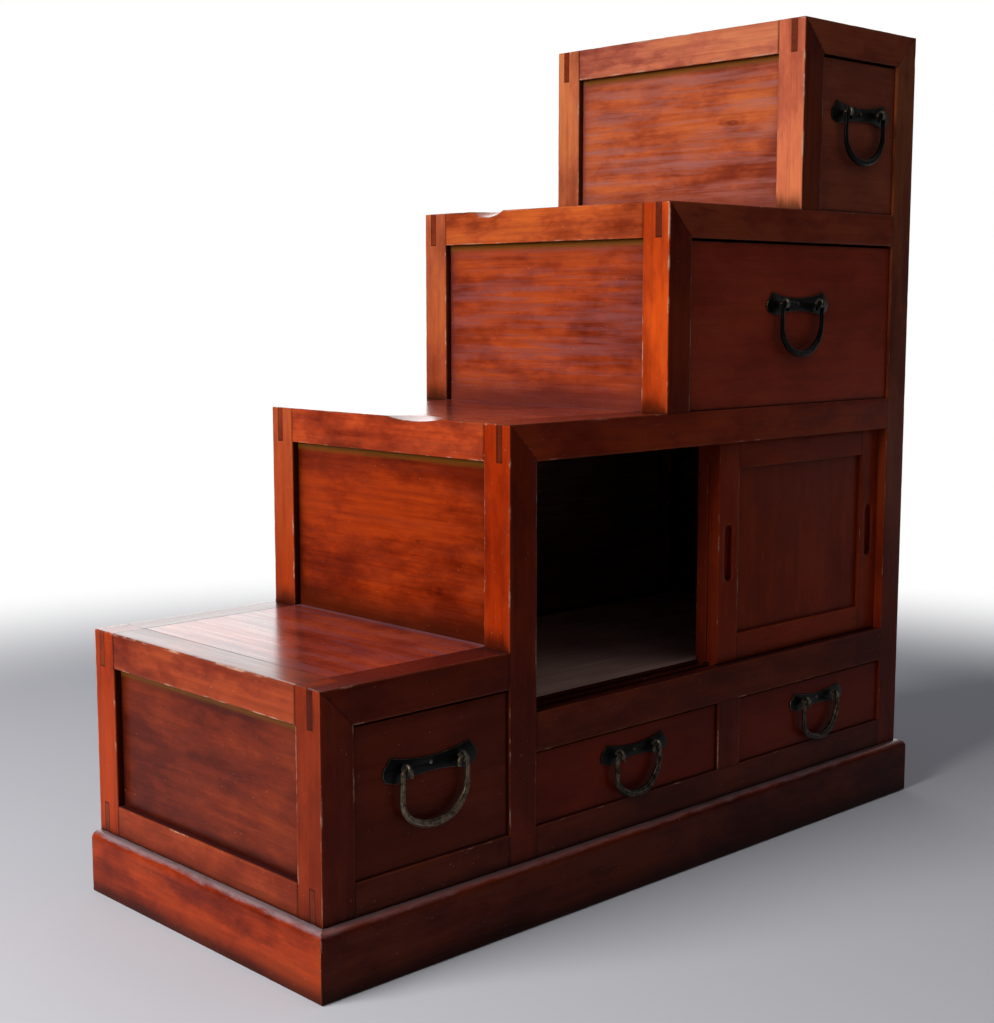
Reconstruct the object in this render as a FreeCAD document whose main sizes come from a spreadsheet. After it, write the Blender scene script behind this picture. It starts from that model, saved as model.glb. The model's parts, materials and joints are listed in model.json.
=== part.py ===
import FreeCAD
import Part
import math
import os
import re
import Sketcher

# Step chest of four steps in lacquered wood, with five drawers and a cabinet with two sliding doors.
# Front (drawer) face towards -Y, steps rising towards +X, +Z up, millimetres.
# The origin is the middle of the footprint on the floor.

SIZES = [
    # The stair: goings along X, rises along Z, each step's own size.
    ("first_going", 253),
    ("second_going", 251.5),
    ("third_going", 250),
    ("top_going", 245.5),
    ("body_depth", 420),
    ("plinth_height", 72),
    ("first_rise", 236.5),
    ("second_rise", 242),
    ("third_rise", 241.5),
    ("top_rise", 232),
    # The plinth moulding under the carcass.
    ("plinth_reach", 12),
    ("plinth_thickness", 45),
    ("plinth_top_round", 9),
    ("plinth_foot_round", 3),
    # The frame of posts and rails.
    ("post_width", 41),
    ("post_depth", 40),
    ("rail_height", 41),
    ("bottom_rail_height", 36),
    ("lower_drawer_opening", 84),
    ("sill_height", 44),
    ("track_rail_depth", 50),
    ("lower_left_opening", 314),
    ("divider_width", 44),
    ("tenon_thickness", 9),
    ("tenon_setback", 11.5),
    ("stub_length", 15),
    ("side_tenon_thickness", 12),
    ("side_tenon_shoulder", 8),
    ("foot_tenon", 10),
    # Panels in their grooves.
    ("panel_recess", 9),
    ("panel_thickness", 8),
    ("groove_depth", 6),
    # Boards that close the treads, shelves and floors.
    ("tread_thickness", 14),
    ("tongue_thickness", 6),
    ("tongue_drop", 5),
    ("shelf_thickness", 14),
    ("dust_board_thickness", 11),
    ("guide_height", 22),
    ("bearer_width", 20),
    ("bearer_height", 25),
    # Wear: the scooped edge of the second step and the chipped edge of the third.
    ("scoop_length", 92),
    ("scoop_depth", 4),
    ("scoop_from_back", 264),
    ("chip_length", 58),
    ("chip_depth", 8),
    ("chip_from_back", 119),
    ("wear_run", 34),
    # Sliding doors and their tracks.
    ("running_gap", 0.3),
    ("door_setback", 12),
    ("door_thickness", 16),
    ("door_spacing", 1.5),
    ("door_overlap", 15),
    ("door_end_gap", 0.5),
    ("door_shoulder_gap", 1),
    ("door_stile", 39),
    ("door_rail", 33),
    ("door_tenon", 20),
    ("door_tongue_inset", 4),
    ("door_tongue_thickness", 8),
    ("track_side_gap", 0.5),
    ("sill_track_depth", 4),
    ("head_track_depth", 12),
    ("head_tongue", 8),
    ("door_panel_recess", 5),
    ("door_panel_thickness", 6),
    ("door_groove", 5),
    ("pull_width", 16),
    ("pull_height", 70),
    ("pull_depth", 7),
    # Drawers.
    ("drawer_setback", 3.5),
    ("drawer_side_gap", 0.8),
    ("drawer_top_gap", 2.5),
    ("drawer_front_thickness", 20),
    ("drawer_wall", 9),
    ("drawer_bottom_thickness", 6),
    ("drawer_bottom_rise", 6),
    ("drawer_housing", 4),
    ("drawer_side_tongue", 8),
    ("drawer_side_drop", 5),
    ("drawer_back_gap", 6.5),
    # Handles: wrought back plate, two eyes, a bail that hangs in them.
    ("large_plate_width", 128),
    ("large_plate_height", 29),
    ("large_eye_spacing", 76.5),
    ("large_bail_width", 88),
    ("large_bail_drop", 62),
    ("large_left_bow", 28),
    ("large_right_bow", 38),
    ("middle_plate_width", 126),
    ("middle_plate_height", 29),
    ("middle_eye_spacing", 72),
    ("middle_bail_width", 82),
    ("middle_bail_drop", 62),
    ("middle_left_bow", 32),
    ("middle_right_bow", 38),
    ("small_plate_width", 114),
    ("small_plate_height", 25),
    ("small_eye_spacing", 63),
    ("small_bail_width", 73.5),
    ("small_bail_drop", 51),
    ("small_left_bow", 22),
    ("small_right_bow", 42),
    ("drawer_1_handle_shift", -4),
    ("drawer_2_handle_shift", 6),
    ("drawer_3_handle_shift", 10.5),
    ("drawer_4_handle_shift", 3),
    ("drawer_5_handle_shift", 2.5),
    ("drawer_1_handle_rise", 24.5),
    ("drawer_2_handle_rise", 15.5),
    ("drawer_3_handle_rise", 15.5),
    ("drawer_4_handle_rise", 26.5),
    ("drawer_5_handle_rise", 30),
    ("plate_thickness", 1.6),
    ("eye_stand", 7),
    ("eye_ring_radius", 4.6),
    ("eye_wire_radius", 2),
    ("eye_neck_radius", 2.2),
    ("eye_shank_radius", 1.7),
    ("eye_tail_length", 13),
    ("eye_tail_width", 4),
    ("eye_tail_thickness", 1.4),
    ("curl_bar_radius", 2.3),
    ("leg_bar_radius", 2.8),
    ("bottom_bar_radius", 4.5),
    ("curl_tip_length", 4),
    ("nail_head_radius", 2.4),
    ("nail_head_height", 1.3),
    ("nail_length", 14),
    ("nail_shank_radius", 1),
    # One overrun for every cutting tool.
    ("overrun", 5),
]

DERIVED = [
    ("body_width", "first_going + second_going + third_going + top_going"),
    ("left_x", "-body_width / 2"),
    ("step_2_x", "left_x + first_going"),
    ("step_3_x", "step_2_x + second_going"),
    ("step_4_x", "step_3_x + third_going"),
    ("right_x", "left_x + body_width"),
    ("right_post_x", "right_x - post_width"),
    ("front_y", "(plinth_reach - body_depth) / 2"),
    ("back_y", "front_y + body_depth"),
    ("front_inner_y", "front_y + post_depth"),
    ("back_inner_y", "back_y - post_depth"),
    ("track_inner_y", "front_y + track_rail_depth"),
    ("step_1_z", "plinth_height + first_rise"),
    ("step_2_z", "step_1_z + second_rise"),
    ("step_3_z", "step_2_z + third_rise"),
    ("top_z", "step_3_z + top_rise"),
    ("lower_rail_z", "plinth_height + bottom_rail_height"),
    ("sill_low_z", "lower_rail_z + lower_drawer_opening"),
    ("sill_z", "sill_low_z + sill_height"),
    ("head_low_z", "step_2_z - rail_height"),
    ("divider_x", "step_2_x + post_width + lower_left_opening"),
    ("door_width", "(right_post_x - step_2_x - post_width + door_overlap) / 2"),
    ("door_x", "right_post_x - door_end_gap - door_width"),
    ("door_low_z", "sill_z + door_shoulder_gap"),
    ("door_high_z", "head_low_z - door_shoulder_gap"),
    ("drawer_face_y", "front_y + drawer_setback"),
    ("hinge_y", "drawer_face_y - plate_thickness - eye_stand"),
]

# Half outline of the back plate, from the middle of its top edge to the middle of its bottom edge,
# as shares of half its width and half its height.
PLATE_TOP_MIDDLE_SHARES = (0, 0.45)
PLATE_TOP_CORNER_SHARES = (0.84, 0.94)
PLATE_WAIST_SHARES = (0.91, 0.46)
PLATE_TIP_SHARES = (1, -0.15)
PLATE_LOBE_SHARES = (0.93, -0.75)
PLATE_HEEL_SHARES = (0.74, -1)
PLATE_ARCH_SHARES = (0, -0.64)

# Turns in degrees at which the bail's sections stand: round the curl, then round the bow.
CURL_TURNS = (180, 150, 120, 90, 60, 30, 0)
BOW_TURNS = (0, 18, 36, 54, 72, 90)

doc = FreeCAD.newDocument("StepChest")
sheet = doc.addObject("Spreadsheet::Sheet", "Sizes")
for row, (alias, value) in enumerate(SIZES, 1):
    sheet.set(f"A{row}", alias.replace("_", " "))
    sheet.set(f"B{row}", str(value))
    sheet.setAlias(f"B{row}", alias)
for row, (alias, formula) in enumerate(DERIVED, len(SIZES) + 1):
    sheet.set(f"A{row}", alias.replace("_", " "))
    sheet.set(f"B{row}", f"={formula}")
    sheet.setAlias(f"B{row}", alias)
doc.recompute()

ALIASES = {alias for alias, rule in SIZES + DERIVED}
nodes = []


def bound(rule):
    """The rule with the sheet's name before each of its aliases."""
    def named(word):
        return f"Sizes.{word.group()}" if word.group() in ALIASES else word.group()
    return re.sub(r"[a-z_][a-z_0-9]*", named, rule)


def size(alias):
    """A size from the sheet, as a number of millimetres."""
    return float(sheet.get(alias))


def keep(node, label):
    """Marks a finished sub-part, whose label is its node's name."""
    node.Label = label
    nodes.append(node)
    return node


def board(name, x_span, y_span, z_span):
    """A squared board between two rules along each axis."""
    solid = doc.addObject("Part::Box", name)
    spans = (("Length", "x", x_span), ("Width", "y", y_span), ("Height", "z", z_span))
    for side, axis, (low, high) in spans:
        solid.setExpression(side, bound(f"({high}) - ({low})"))
        solid.setExpression(f"Placement.Base.{axis}", bound(low))
    return solid


def rod(name, radius, x_rule, y_span, z_rule):
    """A round rod along Y."""
    solid = doc.addObject("Part::Cylinder", name)
    solid.Placement = FreeCAD.Placement(FreeCAD.Vector(), FreeCAD.Rotation(FreeCAD.Vector(1, 0, 0), -90))
    solid.setExpression("Radius", bound(radius))
    solid.setExpression("Height", bound(f"({y_span[1]}) - ({y_span[0]})"))
    for axis, rule in (("x", x_rule), ("y", y_span[0]), ("z", z_rule)):
        solid.setExpression(f"Placement.Base.{axis}", bound(rule))
    return solid


def joined(name, *pieces):
    """One solid glued up from pieces that overlap or touch."""
    solid = doc.addObject("Part::MultiFuse", name)
    solid.Shapes = list(pieces)
    solid.Refine = False
    return solid


def housed(name, blank, *fitted):
    """The blank with a mortise, groove or housing cut by each piece fitted into it."""
    solid = doc.addObject("Part::Cut", name)
    solid.Base = blank
    solid.Tool = fitted[0] if len(fitted) == 1 else joined(f"{name}_fitted", *fitted)
    solid.Refine = False
    return solid


def group(label, *pieces):
    """Separate solids of one kind that share a node."""
    solid = doc.addObject("Part::Compound", label)
    solid.Links = list(pieces)
    return keep(solid, label)


def layer(body, name, y_low, y_high, corners):
    """Pads a four-cornered outline in the body's XZ plane between two rules along Y."""
    sketch = body.newObject("Sketcher::SketchObject", name)
    plane = [item for item in body.Origin.OriginFeatures if item.Role == "XZ_Plane"][0]
    sketch.AttachmentSupport = [(plane, "")]
    sketch.MapMode = "FlatFace"
    sketch.setExpression("AttachmentOffset.Base.z", bound(f"-({y_high})"))
    places = [[body.evalExpression(bound(rule)) for rule in corner] for corner in corners]
    points = [FreeCAD.Vector(float(across), float(up), 0) for across, up in places]
    for index, point in enumerate(points):
        sketch.addGeometry(Part.LineSegment(point, points[(index + 1) % len(points)]))
    for index in range(len(points)):
        sketch.addConstraint(Sketcher.Constraint("Coincident", index, 2, (index + 1) % len(points), 1))
    for index, corner in enumerate(corners):
        for kind, axis, rule, place in zip(("DistanceX", "DistanceY"), (-2, -1), corner, places[index]):
            if rule == "0":
                sketch.addConstraint(Sketcher.Constraint("PointOnObject", index, 1, axis))
                continue
            limit = sketch.addConstraint(Sketcher.Constraint(kind, -1, 1, index, 1, float(place)))
            sketch.renameConstraint(limit, f"{kind}_{index}")
            sketch.setExpression(f"Constraints.{kind}_{index}", bound(rule))
    pad = body.newObject("PartDesign::Pad", f"{name}_pad")
    pad.Profile = sketch
    pad.setExpression("Length", bound(f"({y_high}) - ({y_low})"))
    return pad


def front_rail(
    name, shoulders, z_span, depth, left_tenon, right_tenon, left_mitre=False, right_mitre=False
):
    """A rail between two posts: mitred lip in front, tenon behind the lip, shoulders at the back."""
    body = doc.addObject("PartDesign::Body", name)
    low_z, high_z = z_span
    start = f"({shoulders[0]}) - ({left_tenon})"
    for axis, rule in (("x", start), ("y", "front_y"), ("z", low_z)):
        body.setExpression(f"Placement.Base.{axis}", bound(rule))
    height = f"({high_z}) - ({low_z})"
    near = left_tenon
    far = f"({shoulders[1]}) - ({start})"
    end = f"{far} + ({right_tenon})"
    lip_near = "0" if left_mitre else near
    lip_far = end if right_mitre else far
    tenon_back = "tenon_setback + tenon_thickness"
    lip = [(near, "0"), (far, "0"), (lip_far, height), (lip_near, height)]
    tenon = [("0", "0"), (end, "0"), (end, height), ("0", height)]
    rear = [(near, "0"), (far, "0"), (far, height), (near, height)]
    layer(body, f"{name}_lip", "0", "tenon_setback", lip)
    layer(body, f"{name}_tenon", "tenon_setback", tenon_back, tenon)
    layer(body, f"{name}_rear", tenon_back, depth, rear)
    return body


def side_rail(name, x_low, z_span, shoulder="side_tenon_shoulder"):
    """A rail along Y between a front and a back post, with a stub tenon into each."""
    middle = f"{x_low} + (post_width - side_tenon_thickness) / 2"
    blank = board(f"{name}_blank", (x_low, f"{x_low} + post_width"), ("front_inner_y", "back_inner_y"), z_span)
    tenon = board(
        f"{name}_tenon",
        (middle, f"{middle} + side_tenon_thickness"),
        ("front_inner_y - stub_length", "back_inner_y + stub_length"),
        (f"{z_span[0]} + {shoulder}", f"{z_span[1]} - {shoulder}"),
    )
    return joined(name, blank, tenon)


def back_rail(name, shoulders, z_span, left_tenon, right_tenon):
    """A back rail with a tenon through or into the post at each end."""
    blank = board(f"{name}_blank", shoulders, ("back_inner_y", "back_y"), z_span)
    tenon = board(
        f"{name}_tenon",
        (f"({shoulders[0]}) - ({left_tenon})", f"({shoulders[1]}) + ({right_tenon})"),
        ("back_y - tenon_setback - tenon_thickness", "back_y - tenon_setback"),
        z_span,
    )
    return joined(name, blank, tenon)


def tread(name, x_low, x_high, y_low, top, right_tongue=False):
    """A flush board whose tongues enter the rails round it."""
    blank = board(f"{name}_board", (x_low, x_high), (y_low, "back_inner_y"), (f"{top} - tread_thickness", top))
    tongue_end = f"{x_high} + groove_depth" if right_tongue else x_high
    tongue = board(
        f"{name}_tongue",
        (f"{x_low} - groove_depth", tongue_end),
        (f"{y_low} - groove_depth", "back_inner_y + groove_depth"),
        (f"{top} - tongue_drop - tongue_thickness", f"{top} - tongue_drop"),
    )
    return keep(joined(name, blank, tongue), name)


def riser_panel(name, face_x, z_low, z_high):
    """A thin board behind a step's outer face, in the grooves of the two posts and the rails."""
    spans = (f"{face_x} + panel_recess", f"{face_x} + panel_recess + panel_thickness")
    y_span = ("front_inner_y - groove_depth", "back_inner_y + groove_depth")
    return keep(board(name, spans, y_span, (z_low, z_high)), name)


def back_panel(name, x_span, z_span):
    """A thin board in the grooves of the back frame."""
    return board(
        name,
        (f"{x_span[0]} - groove_depth", f"{x_span[1]} + groove_depth"),
        ("back_y - panel_recess - panel_thickness", "back_y - panel_recess"),
        (f"{z_span[0]} - groove_depth", f"{z_span[1]} + groove_depth"),
    )


def worn_edge(name, face_x, top, from_back, length, depth):
    """A scoop out of a rail's outer top edge that fades out inwards."""
    radius = f"(({length}) * ({length}) / 4 + {depth} * {depth}) / (2 * {depth})"
    slope = f"sqrt({depth} * {depth} + wear_run * wear_run)"
    out = f"({radius} * {depth} + overrun * wear_run) / {slope}"
    up = f"({radius} * wear_run - overrun * {depth}) / {slope}"
    tool = doc.addObject("Part::Cylinder", name)
    tilt = math.degrees(math.atan2(size(depth), size("wear_run")))
    tool.Placement = FreeCAD.Placement(FreeCAD.Vector(), FreeCAD.Rotation(FreeCAD.Vector(0, 1, 0), 90 - tilt))
    tool.setExpression("Radius", bound(radius))
    tool.setExpression("Height", bound("post_width + overrun"))
    tool.setExpression("Placement.Base.x", bound(f"{face_x} - {out}"))
    tool.setExpression("Placement.Base.y", bound(f"back_y - {from_back}"))
    tool.setExpression("Placement.Base.z", bound(f"{top} - {depth} + {up}"))
    return tool


# Plinth: four moulded boards, mitred at the front corners, rounded along their upper outer edge.
def plinth_board(name, corners, outer_side):
    """A plinth board from its outline on the floor, with its outer edges rounded."""
    body = doc.addObject("PartDesign::Body", name)
    sketch = body.newObject("Sketcher::SketchObject", f"{name}_outline")
    plane = [item for item in body.Origin.OriginFeatures if item.Role == "XY_Plane"][0]
    sketch.AttachmentSupport = [(plane, "")]
    sketch.MapMode = "FlatFace"
    body.setExpression("Placement.Base.x", bound("left_x - plinth_reach"))
    body.setExpression("Placement.Base.y", bound("front_y - plinth_reach"))
    places = [[float(body.evalExpression(bound(rule))) for rule in corner] for corner in corners]
    points = [FreeCAD.Vector(*place, 0) for place in places]
    for index, point in enumerate(points):
        sketch.addGeometry(Part.LineSegment(point, points[(index + 1) % len(points)]))
    for index in range(len(points)):
        sketch.addConstraint(Sketcher.Constraint("Coincident", index, 2, (index + 1) % len(points), 1))
    for index, corner in enumerate(corners):
        for kind, axis, rule, place in zip(("DistanceX", "DistanceY"), (-2, -1), corner, places[index]):
            if rule == "0":
                sketch.addConstraint(Sketcher.Constraint("PointOnObject", index, 1, axis))
                continue
            limit = sketch.addConstraint(Sketcher.Constraint(kind, -1, 1, index, 1, place))
            sketch.renameConstraint(limit, f"{kind}_{index}")
            sketch.setExpression(f"Constraints.{kind}_{index}", bound(rule))
    pad = body.newObject("PartDesign::Pad", f"{name}_pad")
    pad.Profile = sketch
    pad.setExpression("Length", bound("plinth_height"))
    doc.recompute()
    for round_name, alias, height in (
        ("top", "plinth_top_round", size("plinth_height")),
        ("foot", "plinth_foot_round", 0),
    ):
        base = body.Tip
        edge = outer_edge(base.Shape, outer_side, height)
        fillet = body.newObject("PartDesign::Fillet", f"{name}_{round_name}_round")
        fillet.Base = (base, [edge])
        fillet.setExpression("Radius", bound(alias))
        doc.recompute()
    return body


def outer_edge(shape, outer_side, height):
    """The name of the long level edge at that height on the board's outer side."""
    best = None
    for number, edge in enumerate(shape.Edges, 1):
        middle = edge.CenterOfMass
        level = abs(edge.BoundBox.ZMax - height) + abs(edge.BoundBox.ZMin - height)
        if level > size("running_gap"):
            continue
        score = middle.x * outer_side[0] + middle.y * outer_side[1]
        if best is None or score > best[0]:
            best = (score, f"Edge{number}")
    return best[1]


full_width = "body_width + 2 * plinth_reach"
full_depth = "body_depth + plinth_reach"
keep(
    plinth_board(
        "plinth_front",
        [("0", "0"), (full_width, "0"), (f"{full_width} - plinth_thickness", "plinth_thickness"),
         ("plinth_thickness", "plinth_thickness")],
        (0, -1),
    ),
    "plinth_front",
)
left_end = plinth_board(
    "plinth_left_end",
    [("0", "0"), ("plinth_thickness", "plinth_thickness"), ("plinth_thickness", full_depth), ("0", full_depth)],
    (-1, 0),
)
right_end = plinth_board(
    "plinth_right_end",
    [(full_width, "0"), (full_width, full_depth), (f"{full_width} - plinth_thickness", full_depth),
     (f"{full_width} - plinth_thickness", "plinth_thickness")],
    (1, 0),
)
group("plinth_ends", left_end, right_end)
inner_left_x = "left_x - plinth_reach + plinth_thickness"
inner_right_x = "right_x + plinth_reach - plinth_thickness"
keep(
    board(
        "plinth_back",
        (inner_left_x, inner_right_x),
        ("back_y - plinth_thickness", "back_y"),
        ("0", "plinth_height"),
    ),
    "plinth_back",
)

# Riser panels on the left side of each step.
step_1_inner = "left_x + post_width"
step_2_inner = "step_2_x + post_width"
step_3_inner = "step_3_x + post_width"
step_4_inner = "step_4_x + post_width"
board_floor_z = "lower_rail_z - dust_board_thickness"
riser_1 = riser_panel(
    "riser_panel_1", "left_x", "lower_rail_z - groove_depth", "step_1_z - rail_height + groove_depth"
)
riser_2 = riser_panel("riser_panel_2", "step_2_x", board_floor_z, "head_low_z + groove_depth")
riser_3 = riser_panel(
    "riser_panel_3", "step_3_x", "step_2_z - shelf_thickness", "step_3_z - rail_height + groove_depth"
)
riser_4 = riser_panel(
    "riser_panel_4", "step_4_x", "step_3_z - shelf_thickness", "top_z - rail_height + groove_depth"
)
riser_2_face = "step_2_x + panel_recess"
riser_3_face = "step_3_x + panel_recess"
riser_4_face = "step_4_x + panel_recess"
riser_2_back = "step_2_x + panel_recess + panel_thickness"
riser_3_back = "step_3_x + panel_recess + panel_thickness"
riser_4_back = "step_4_x + panel_recess + panel_thickness"

# Panels of the right side, which stand against the room as the riser panels do.
right_panel_x = ("right_x - panel_recess - panel_thickness", "right_x - panel_recess")
right_panel_y = ("front_inner_y - groove_depth", "back_inner_y + groove_depth")
right_lower_z = ("lower_rail_z - groove_depth", "head_low_z + groove_depth")
right_upper_z = ("step_2_z - groove_depth", "top_z - rail_height + groove_depth")
right_lower = board("right_lower_panel", right_panel_x, right_panel_y, right_lower_z)
right_upper = board("right_upper_panel", right_panel_x, right_panel_y, right_upper_z)
group("right_side_panels", right_lower, right_upper)
right_panel_back = right_panel_x[0]

# Back panels.
back_1 = back_panel("back_panel_1", (step_1_inner, "step_2_x"), ("lower_rail_z", "step_1_z - rail_height"))
back_2 = back_panel("back_panel_2", (step_2_inner, "right_post_x"), ("lower_rail_z", "sill_low_z"))
back_3 = back_panel("back_panel_3", (step_2_inner, "right_post_x"), ("sill_z", "head_low_z"))
back_4 = back_panel("back_panel_4", (step_3_inner, "right_post_x"), ("step_2_z", "step_3_z - rail_height"))
back_5 = back_panel("back_panel_5", (step_4_inner, "right_post_x"), ("step_3_z", "top_z - rail_height"))
group("back_panels", back_1, back_2, back_3, back_4, back_5)

# Treads and the top board.
tread_1 = tread("tread_1", step_1_inner, riser_2_face, "front_inner_y", "step_1_z")
tread_2 = tread("tread_2", step_2_inner, riser_3_face, "track_inner_y", "step_2_z")
tread_3 = tread("tread_3", step_3_inner, riser_4_face, "front_inner_y", "step_3_z")
top_board = tread("top_board", step_4_inner, "right_post_x", "front_inner_y", "top_z", right_tongue=True)

# Boards that the drawers slide on, flush with the rails in front of them.
housed_right = "right_post_x + groove_depth"
depth_span = ("front_inner_y", "back_inner_y")
dust_board_z = (board_floor_z, "lower_rail_z")
board_1 = board("dust_board_1", (f"{step_1_inner} - groove_depth", riser_2_face), depth_span, dust_board_z)
board_2 = board("dust_board_2", (riser_2_back, housed_right), depth_span, dust_board_z)
shelf_3 = board(
    "shelf_3",
    (riser_3_back, housed_right),
    ("track_inner_y", "back_inner_y"),
    ("step_2_z - shelf_thickness", "step_2_z"),
)
shelf_4_z = ("step_3_z - shelf_thickness", "step_3_z")
shelf_4 = board("shelf_4", (riser_4_back, housed_right), depth_span, shelf_4_z)
group("drawer_shelves", board_1, board_2, shelf_3, shelf_4)
cabinet_floor = keep(
    board(
        "cabinet_floor",
        (riser_2_back, right_panel_back),
        ("track_inner_y", "back_inner_y"),
        ("sill_z - shelf_thickness", "sill_z"),
    ),
    "cabinet_floor",
)

# Rails of the risers, with their stub tenons, before their grooves are cut.
riser_rail_1 = side_rail("riser_rail_1_blank", "left_x", ("step_1_z - rail_height", "step_1_z"))
riser_rail_2 = side_rail("riser_rail_2_blank", "step_2_x", ("head_low_z", "step_2_z"))
riser_rail_3 = side_rail("riser_rail_3_blank", "step_3_x", ("step_3_z - rail_height", "step_3_z"))
riser_rail_4 = side_rail("riser_rail_4_blank", "step_4_x", ("top_z - rail_height", "top_z"))
riser_foot = side_rail("riser_foot_blank", "left_x", ("plinth_height", "lower_rail_z"))
right_foot = side_rail("right_foot_blank", "right_post_x", ("plinth_height", "lower_rail_z"))
right_middle = side_rail("right_middle_blank", "right_post_x", ("head_low_z", "step_2_z"))
right_top = side_rail("right_top_blank", "right_post_x", ("top_z - rail_height", "top_z"))
scoop = worn_edge("scoop", "step_2_x", "step_2_z", "scoop_from_back", "scoop_length", "scoop_depth")
chip = worn_edge("chip", "step_3_x", "step_3_z", "chip_from_back", "chip_length", "chip_depth")
keep(housed("riser_rail_1", riser_rail_1, riser_1, tread_1), "riser_rail_1")
keep(housed("riser_rail_2", riser_rail_2, riser_2, tread_2, scoop), "riser_rail_2")
keep(housed("riser_rail_3", riser_rail_3, riser_3, tread_3, chip), "riser_rail_3")
keep(housed("riser_rail_4", riser_rail_4, riser_4, top_board), "riser_rail_4")
group(
    "right_side_rails",
    housed("right_rail_bottom", right_foot, right_lower, board_2),
    housed("right_rail_middle", right_middle, right_lower, right_upper, shelf_3),
    housed("right_rail_top", right_top, right_upper, top_board),
)

# Bearers under the boards, front to back between the posts.
bearer_2_z = ("plinth_height", board_floor_z)
group(
    "cross_bearers",
    board("sole_bearer", ("step_2_x", step_2_inner), depth_span, bearer_2_z),
    board("divider_bearer", ("divider_x", "divider_x + divider_width"), depth_span, bearer_2_z),
    board(
        "tread_bearer_1",
        (f"{riser_2_face} - bearer_width", riser_2_face),
        depth_span,
        ("step_1_z - tread_thickness - bearer_width", "step_1_z - tread_thickness"),
    ),
    board(
        "floor_bearer_left",
        (riser_2_back, step_2_inner),
        ("track_inner_y", "back_inner_y"),
        ("sill_z - shelf_thickness - bearer_height", "sill_z - shelf_thickness"),
    ),
    board(
        "floor_bearer_right",
        ("right_post_x", right_panel_back),
        ("track_inner_y", "back_inner_y"),
        ("sill_z - shelf_thickness - bearer_height", "sill_z - shelf_thickness"),
    ),
    board(
        "tread_bearer_2",
        ("step_3_x", step_3_inner),
        ("track_inner_y", "back_inner_y"),
        ("head_low_z", "step_2_z - shelf_thickness"),
    ),
    board(
        "tread_bearer_3",
        ("step_4_x", step_4_inner),
        depth_span,
        ("step_3_z - rail_height", "step_3_z - shelf_thickness"),
    ),
    housed(
        "shelf_bearer_right",
        board(
            "shelf_bearer_blank",
            ("right_post_x", right_panel_back),
            depth_span,
            ("step_3_z - rail_height", "step_3_z"),
        ),
        shelf_4,
    ),
)

# Guides beside the drawers, flush with the posts in front of them.
def guide(name, x_span, z_low, y_low="front_inner_y"):
    return board(name, x_span, (y_low, "back_inner_y"), (z_low, f"{z_low} + guide_height"))


group(
    "drawer_guides",
    guide("guide_1_left", ("left_x + panel_recess + panel_thickness", step_1_inner), "lower_rail_z"),
    guide("guide_1_right", ("step_2_x", riser_2_face), "lower_rail_z"),
    guide("guide_2_left", (riser_2_back, step_2_inner), "lower_rail_z"),
    guide("guide_middle", ("divider_x", "divider_x + divider_width"), "lower_rail_z"),
    guide("guide_3_right", ("right_post_x", right_panel_back), "lower_rail_z"),
    guide("guide_4_left", (riser_3_back, step_3_inner), "step_2_z", "track_inner_y"),
    guide("guide_4_right", ("right_post_x", right_panel_back), "step_2_z"),
    guide("guide_5_left", (riser_4_back, step_4_inner), "step_3_z"),
    guide("guide_5_right", ("right_post_x", right_panel_back), "step_3_z"),
)

# Front rails before their grooves are cut.
through = "post_width"
stub = "stub_length"
foot_rail_z = ("plinth_height", "lower_rail_z")
sill_rail_z = ("sill_low_z", "sill_z")
step_1_rail_z = ("step_1_z - rail_height", "step_1_z")
step_2_rail_z = ("head_low_z", "step_2_z")
step_3_rail_z = ("step_3_z - rail_height", "step_3_z")
top_rail_z = ("top_z - rail_height", "top_z")
bay_1 = (step_1_inner, "step_2_x")
bay_2 = (step_2_inner, "right_post_x")
bay_3 = (step_3_inner, "right_post_x")
bay_4 = (step_4_inner, "right_post_x")
rail_1 = front_rail("rail_1_blank", bay_1, step_1_rail_z, "post_depth", through, stub, True)
foot_left = front_rail("foot_left_blank", bay_1, foot_rail_z, "post_depth", through, stub)
foot_right = front_rail("foot_right_blank", bay_2, foot_rail_z, "post_depth", stub, through)
sill = front_rail("sill_blank", bay_2, sill_rail_z, "track_rail_depth", stub, through)
head = front_rail("head_blank", bay_2, step_2_rail_z, "track_rail_depth", through, through, True)
rail_3 = front_rail("rail_3_blank", bay_3, step_3_rail_z, "post_depth", through, through, True)
rail_top = front_rail("rail_top_blank", bay_4, top_rail_z, "post_depth", through, through, True, True)

# Back rails before their grooves are cut.
back_rails = {}
for rail_name, bay, rail_z, left_tenon, right_tenon in (
    ("back_rail_1", bay_1, step_1_rail_z, through, stub),
    ("back_foot_left", bay_1, foot_rail_z, through, stub),
    ("back_foot_right", bay_2, foot_rail_z, stub, through),
    ("back_sill", bay_2, sill_rail_z, stub, through),
    ("back_head", bay_2, step_2_rail_z, through, through),
    ("back_rail_3", bay_3, step_3_rail_z, through, through),
    ("back_rail_top", bay_4, top_rail_z, through, through),
):
    back_rails[rail_name] = back_rail(f"{rail_name}_blank", bay, rail_z, left_tenon, right_tenon)


# Posts, with a stub tenon where one stands on a rail.
def post(name, x_low, y_span, z_span, foot=False):
    blank = board(f"{name}_blank", (x_low, f"{x_low} + post_width"), y_span, z_span)
    if not foot:
        return blank
    tenon = board(
        f"{name}_foot",
        (f"{x_low} + side_tenon_shoulder", f"{x_low} + post_width - side_tenon_shoulder"),
        (f"{y_span[0]} + side_tenon_shoulder", f"{y_span[1]} - side_tenon_shoulder"),
        (f"{z_span[0]} - foot_tenon", z_span[0]),
    )
    return joined(f"{name}_footed", blank, tenon)


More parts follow.
